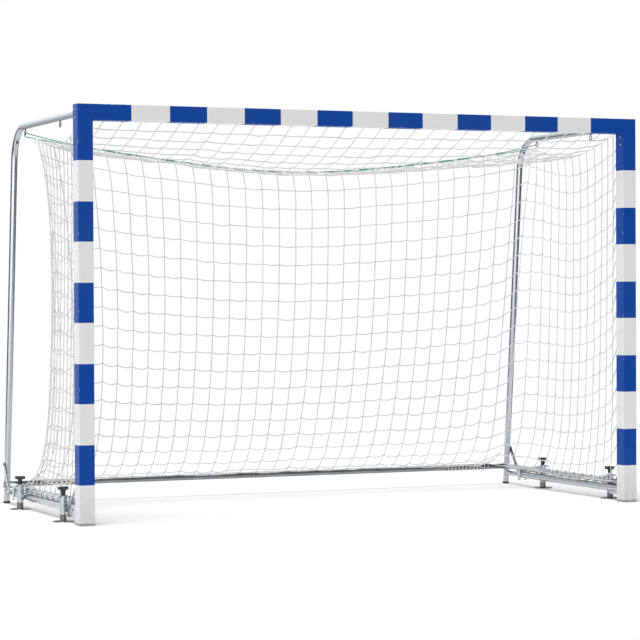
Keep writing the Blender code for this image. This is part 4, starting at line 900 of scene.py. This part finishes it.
def cord_lengths(knots, spare_across, spare_down, mesh_across=0.0, mesh_down=0.0):
    """Length of each cord between two knots: the way it spans and some spare, or at least a mesh."""
    across = np.linalg.norm(np.diff(knots, axis=1), axis=-1) * (1 + spare_across)
    down = np.linalg.norm(np.diff(knots, axis=0), axis=-1) * (1 + spare_down)
    across = np.maximum(across, mesh_across) * chance.normal(1, 0.012, across.shape)
    down = np.maximum(down, mesh_down) * chance.normal(1, 0.006, down.shape)
    return across, down


def hang(shape, across_cord, down_cord, rounds, drop, kept=0.85):
    """Gravity pulls the knots down, and no cord between two of them gets longer than it is. The
    twist of the cords keeps most of the shape that the panel has seen from above."""
    knots = shape.copy()
    free = np.zeros(knots.shape[:2])
    free[1:-1, 1:-1] = 1
    for step in range(rounds):
        knots[..., 2] -= drop * (1 - step / rounds) * free
        for k in (0, 1, 0, 1):
            for near, far, cord, a, b in (
                    (knots[:, k:-1:2], knots[:, k + 1::2], across_cord[:, k::2],
                     free[:, k:-1:2], free[:, k + 1::2]),
                    (knots[k:-1:2], knots[k + 1::2], down_cord[k::2], free[k:-1:2], free[k + 1::2])):
                run = far - near
                length = np.linalg.norm(run, axis=-1)
                over = np.maximum(length - cord, 0) / np.maximum(length * (a + b), 1e-9)
                near += run * (over * a)[..., None]
                far -= run * (over * b)[..., None]
    knots[..., :2] += kept * (shape[..., :2] - knots[..., :2])
    return knots


def slack_line(knots, cord, sag, most=0.020):
    """The path of one cord through its knots, hanging a little wherever it is slack."""
    path = []
    share = np.array((0, 0.2, 0.5, 0.8))
    curve = 4 * share * (1 - share)
    for knot, run, cord_length in zip(knots, np.diff(knots, axis=0), cord):
        length = np.linalg.norm(run)
        spare = max(cord_length / length - 1, 0)
        level_share = math.hypot(run[0], run[1]) / length
        depth = min(sag * length * math.sqrt(0.375 * spare) * level_share, most)
        side_push = chance.normal(0, 0.0010, 3)
        path.extend(knot + run * share[:, None] + curve[:, None] * (side_push - (0, 0, depth)))
    return np.array(path + [knots[-1]])


def knot_wrap(at, along, across, out):
    """The lump where two cords are knotted: a wrap of one round the other."""
    turn = np.linspace(0, 2.5 * np.pi, 8)
    facing = np.cos(turn)[:, None] * across + np.sin(turn)[:, None] * out
    wrap = at + facing * 0.0021 + (turn / turn[-1] - 0.5)[:, None] * along * 0.0052
    return rings_along(wrap, 0.0016, 4, facing)


def net_panel(name, shape, cords, sag, most, outward, rounds=900, drop=0.0009, flip=False):
    """One panel of the net as it hangs, with a cord along each row and column and a knot at each
    crossing. The last row lies close to what the panel is tied to, so it sags less."""
    side = np.array((-1 if flip else 1, 1, 1))
    knots = (hang(shape, *cords, rounds, drop) + (0, -MIDDLE, 0)) * side
    across_cord, down_cord = cords
    rows, columns = knots.shape[0] - 1, knots.shape[1] - 1
    paths = [slack_line(knots[j], across_cord[j], sag, most if j < rows - 1 else 0.2 * most)
             for j in range(1, rows)]
    paths += [slack_line(knots[:, i], down_cord[:, i], 0.4) for i in range(1, columns)]
    tubes = [rings_along(path, NET_RADIUS, 6, outward * side) for path in paths]
    for j in range(1, rows):
        for i in range(1, columns):
            along = knots[j, i + 1] - knots[j, i - 1]
            along = along / np.linalg.norm(along)
            out = np.cross(along, knots[j + 1, i] - knots[j - 1, i])
            out = out / np.linalg.norm(out)
            tubes.append(knot_wrap(knots[j, i], along, np.cross(out, along), out))
    cord_object(name + "_cords", tubes, net_white, "net", name)


# The back net's columns fall faster near the middle, where it also hangs further back than its seams.
across = np.linspace(0, 1, COLUMNS + 1)
down = np.linspace(0, 1, ROWS + 1)[:, None]
from_middle = np.abs(2 * across - 1)
fall = down + 0.13 * down * (1 - down) * (1 - from_middle ** 6)
seam = corner_seam(fall)
height_share = (cord_height(CORNER_X * from_middle) - FOOT_HEIGHT) / (CORNER_TOP - FOOT_HEIGHT)
straight_x = CORNER_X + (REAR_X - CORNER_X) * fall
middle_back = 0.035 * np.abs(np.sin(np.pi * fall)) ** 0.7 + 1.5 * fall ** 5 * (1 - fall)
knots = np.stack(((straight_x + (seam[..., 0] - straight_x) * from_middle ** 2) * (2 * across - 1),
                  seam[..., 1] + middle_back * (1 - from_middle ** 3),
                  FOOT_HEIGHT + (seam[..., 2] - FOOT_HEIGHT) * height_share), -1)
net_panel("back_net", knots, cord_lengths(knots, 0.010, 0.002, 0.0985), 0.75, 0.014, (0, 1, 0.2), 500, 0.0003)

rearward = np.linspace(0, 1, TOP_ROWS + 1)
seam = roof_seam(rearward)
knots = stretched(bar_row, cord_row, seam * (-1, 1, 1), seam, np.tile(across, (TOP_ROWS + 1, 1)))
knots[..., 1] -= 0.009 * rearward[:, None]
net_panel("top_net", knots, cord_lengths(knots, 0.010, 0.002), 0.7, 0.018, (0, 0.2, 1))


def spread(*gaps):
    """Where the columns of the side net stand across it, from the widths of the gaps between them."""
    gaps = np.array(gaps + (1,) * (SIDE_COLUMNS - len(gaps)), float)
    return np.concatenate(((0,), np.cumsum(gaps) / gaps.sum()))


high, middle, low = spread(0.6, 0.7, 0.8), spread(0.9, 0.8, 0.8, 0.9), spread(0.9)
share = (1 - down) * high + down * low + 4 * down * (1 - down) * (middle - (high + low) / 2)
for side_name, mesh, sag, most in (("left", 0.103, 0.75, 0.017), ("right", 0.101, 0.55, 0.013)):
    knots = stretched(roof_seam, foot_line, post_line(down[:, 0] ** 1.17), corner_seam(down[:, 0]), share,
                      (3, 1, 1))
    net_panel(side_name + "_side_net", knots, cord_lengths(knots, 0.020, -0.02, mesh, 0.0955), sag, most,
              (1, 0, 0.1), flip=side_name == "left")

ropes = []
for half, points, setback, height, ripple, radius in (
        (NET_SIDE, 160, NET_FRONT, NET_TOP, 61, EDGE_ROPE_RADIUS),
        (REAR_X, 150, FOOT_BACK, FOOT_HEIGHT, 53, 0.0021)):
    x = np.linspace(-half, half, points)
    line = np.stack((x, 0 * x + back(setback), height + 0.0012 * np.sin(x * ripple)), 1)
    ropes.append(rings_along(line, radius, 8, (0, 1, 0)))
fine = np.linspace(0, 1, 90)
for _, sign in SIDES:
    for edge, facing in ((corner_seam, (1, 0, 0)), (roof_seam, (1, 0, 0)), (foot_line, (1, 1, 0.3)),
                         (post_line, (0, 1, 0))):
        line = edge(fine) * (sign, 1, 1) + (0, -MIDDLE, 0)
        ropes.append(rings_along(line, EDGE_ROPE_RADIUS, 8, np.array(facing) * (sign, 1, 1)))
cord_object("net_edge_ropes", ropes, net_white, "net")


# Ties: one white cord wound round each side tube, a close winding round each end of the rear tube,
# and loops of the net's own cord over the tension cord.
LACE_TURNS = 10
LACE_START = 0.75
LACE_PITCH = (CLAMP_SETBACKS["rear"] - CLAMP_SETBACKS["front"]) / 8
LACE_RADIUS = 0.01792
END_WINDINGS = ((-1.42, -1.06, 0.021), (1.12, 1.42, 0.024))


def winding(start, step, first, second, radius, turns, begin=0.0):
    """Points of a cord wound round a tube, and the way from the tube's axis to each of them."""
    angle = 2 * np.pi * (turns - begin)[:, None]
    out = np.cos(angle) * first + np.sin(angle) * second
    return np.array(start) + turns[:, None] * step + radius * out, out


for side_name, sign in SIDES:
    start = (sign * POST_X, FRONT_Y - LACE_START * LACE_PITCH, TUBE_HEIGHT)
    path, out = winding(start, np.array((0, LACE_PITCH, 0)), np.array((0, 0, -1)), np.array((-sign, 0, 0)),
                        LACE_RADIUS, np.linspace(0, LACE_TURNS, 24 * LACE_TURNS + 1), LACE_START)
    tubes = [rings_along(path, 0.0019, 8, out)]
    tubes += [knot_wrap(path[end], *np.array(((0, 1, 0), (1, 0, 0), (0, 0, 1)))) for end in (0, -1)]
    cord_object(side_name + "_side_lacing", tubes, net_white, "net", side_name + "_lacing")

tubes = []
for start_x, stop_x, pitch in END_WINDINGS:
    laps = (stop_x - start_x) / pitch
    path, out = winding((start_x, back(CORNER), TUBE_HEIGHT), np.array((pitch, 0, 0)), np.array((0, -1, 0)),
                        np.array((0, 0, 1)), 0.0172, np.linspace(0, laps, int(laps * 18)))
    tubes.append(rings_along(path, 0.0016, 6, out))
turn = np.linspace(0, 2 * np.pi, 15)[:-1]
facing = np.stack((0 * turn, np.cos(turn), np.sin(turn)), 1)
for x, _, height in cord_row(across)[1:-1]:
    gap = cord_gap(x) / 2
    loop = np.stack((x + 0.002 * np.sin(turn), back(CORD_SETBACK) + 0.0049 * np.cos(turn),
                     height + gap + (gap + 0.0044) * np.sin(turn)), 1)
    tubes.append(rings_along(loop, 0.0015, 5, facing, closed=True))
cord_object("rear_and_cord_ties", tubes, net_white, "net")


# Net clips: white nylon hooks pushed into the groove of the frame, 200 mm apart, that carry the
# edge rope of the net behind the crossbar and the posts.
CLIP_STEP = 0.2
CLIP_X = -1.40
CLIP_Z = 1.900
BAR_CLIPS, POST_CLIPS = 15, 9
BAR_CLIP = (((-0.006, 0.0800, 2.0340), (0.006, 0.0826, 2.0460), "Y", 0.003),
            ((-0.0035, 0.0812, 2.0000), (0.0035, 0.0830, 2.0450), "Y", 0.002),
            ((-0.0035, 0.0812, 1.9990), (0.0035, 0.0890, 2.0008), "Z", 0.002),
            ((-0.0035, 0.0882, 1.9990), (0.0035, 0.0900, 2.0060), "Y", 0.002))
POST_CLIP = (((-0.006, 0.0800, CLIP_Z - 0.006), (0.006, 0.0826, CLIP_Z + 0.006), "Y", 0.003),
             ((-0.004, 0.0812, CLIP_Z - 0.0035), (0.026, 0.0830, CLIP_Z + 0.0035), "Y", 0.002),
             ((0.0260, 0.0812, CLIP_Z - 0.0035), (0.0278, 0.0890, CLIP_Z + 0.0035), "X", 0.002))
nylon = moulded("white_nylon", (0.70, 0.70, 0.69), 0.45, 800.0)


def make_clip(name, x, plates):
    blank()
    for low, high, along, radius in plates:
        rounded_plate((x + low[0], back(low[1]), low[2]), (x + high[0], back(high[1]), high[2]),
                      along, radius)
    return finish_piece(name, nylon)


first_clip = make_clip("net_clip_bar_00", CLIP_X, BAR_CLIP)
for index in range(1, BAR_CLIPS):
    copy_piece(first_clip, "net_clip_bar_%02d" % index, shift=(CLIP_STEP * index, 0, 0))
first_clip = make_clip("net_clip_left_00", -POST_X, POST_CLIP)
copy_piece(first_clip, "net_clip_right_00")
for index in range(1, POST_CLIPS):
    twin = copy_piece(first_clip, "net_clip_left_%02d" % index, shift=(0, 0, -CLIP_STEP * index))
    copy_piece(twin, "net_clip_right_%02d" % index)


# Studio: plain white floor and background and a soft light overhead. Bare metal mirrors a bright
# wall on the camera's left and one behind the goal, and is dark elsewhere.
LIGHT_FROM = (-0.14, -0.10, 0.98)
MIRRORED_ROOM = (0.17, 0.175, 0.175)
MIRRORED_WALLS = (((-0.58, -0.80, 0.15), 0.64, (2.05, 2.15, 2.22)),
                  ((0.0, 0.96, 0.28), 0.78, (1.22, 1.28, 1.32)))
bpy.ops.mesh.primitive_plane_add(size=9, location=(0, 0, 0))
floor = bpy.context.object
floor.name = "studio_floor"
floor_finish, _, floor_shader = new_finish("studio_white", (0.98, 0.98, 0.98), 0.95)
floor_shader.inputs["Specular IOR Level"].default_value = 0.0
floor_shader.inputs["Emission Color"].default_value = (1, 1, 1, 1)
floor_shader.inputs["Emission Strength"].default_value = 0.09
floor.data.materials.append(floor_finish)
world = bpy.data.worlds.new("studio_world")
bpy.context.scene.world = world
world.use_nodes = True
sky = world.node_tree
direction = put(sky, "ShaderNodeTexCoord").outputs["Generated"]
sideways, _, upward = put(sky, "ShaderNodeSeparateXYZ", {0: direction}).outputs
strength = number(sky, "SUBTRACT", 0.95, number(sky, "MULTIPLY", number(sky, "MAXIMUM", upward, 0.0), 0.65))
strength = number(sky, "SUBTRACT", strength, number(sky, "MULTIPLY", sideways, 0.40))
soft = sky.nodes["Background"]
soft.inputs["Color"].default_value = (1, 1, 1, 1)
sky.links.new(strength, soft.inputs["Strength"])
mirrored_colour = MIRRORED_ROOM
for way, edge, wall_colour in MIRRORED_WALLS:
    toward = put(sky, "ShaderNodeVectorMath", {0: direction, 1: way},
                 operation="DOT_PRODUCT").outputs["Value"]
    lit = number(sky, "MINIMUM", number(sky, "MULTIPLY", number(sky, "SUBTRACT", toward, edge), 5.0), 1.0)
    mirrored_colour = blend_colours(sky, number(sky, "MAXIMUM", lit, 0.0), mirrored_colour, wall_colour)
mirrored = put(sky, "ShaderNodeBackground", {"Color": mirrored_colour})
seen = put(sky, "ShaderNodeBackground", {"Color": (1, 1, 1, 1), "Strength": 1.0})
rays = put(sky, "ShaderNodeLightPath").outputs
unseen = put(sky, "ShaderNodeMixShader",
             {0: rays["Is Glossy Ray"], 1: soft.outputs[0], 2: mirrored.outputs[0]})
both = put(sky, "ShaderNodeMixShader", {0: rays["Is Camera Ray"], 1: unseen.outputs[0], 2: seen.outputs[0]})
sky.links.new(both.outputs[0], sky.nodes["World Output"].inputs[0])
sun_data = bpy.data.lights.new("softbox", "SUN")
sun_data.energy = 1.62
sun_data.angle = math.radians(22)
softbox = bpy.data.objects.new("softbox", sun_data)
bpy.context.scene.collection.objects.link(softbox)
softbox.rotation_euler = Vector(LIGHT_FROM).to_track_quat("Z", "Y").to_euler()
bpy.context.scene.view_settings.view_transform = "Standard"
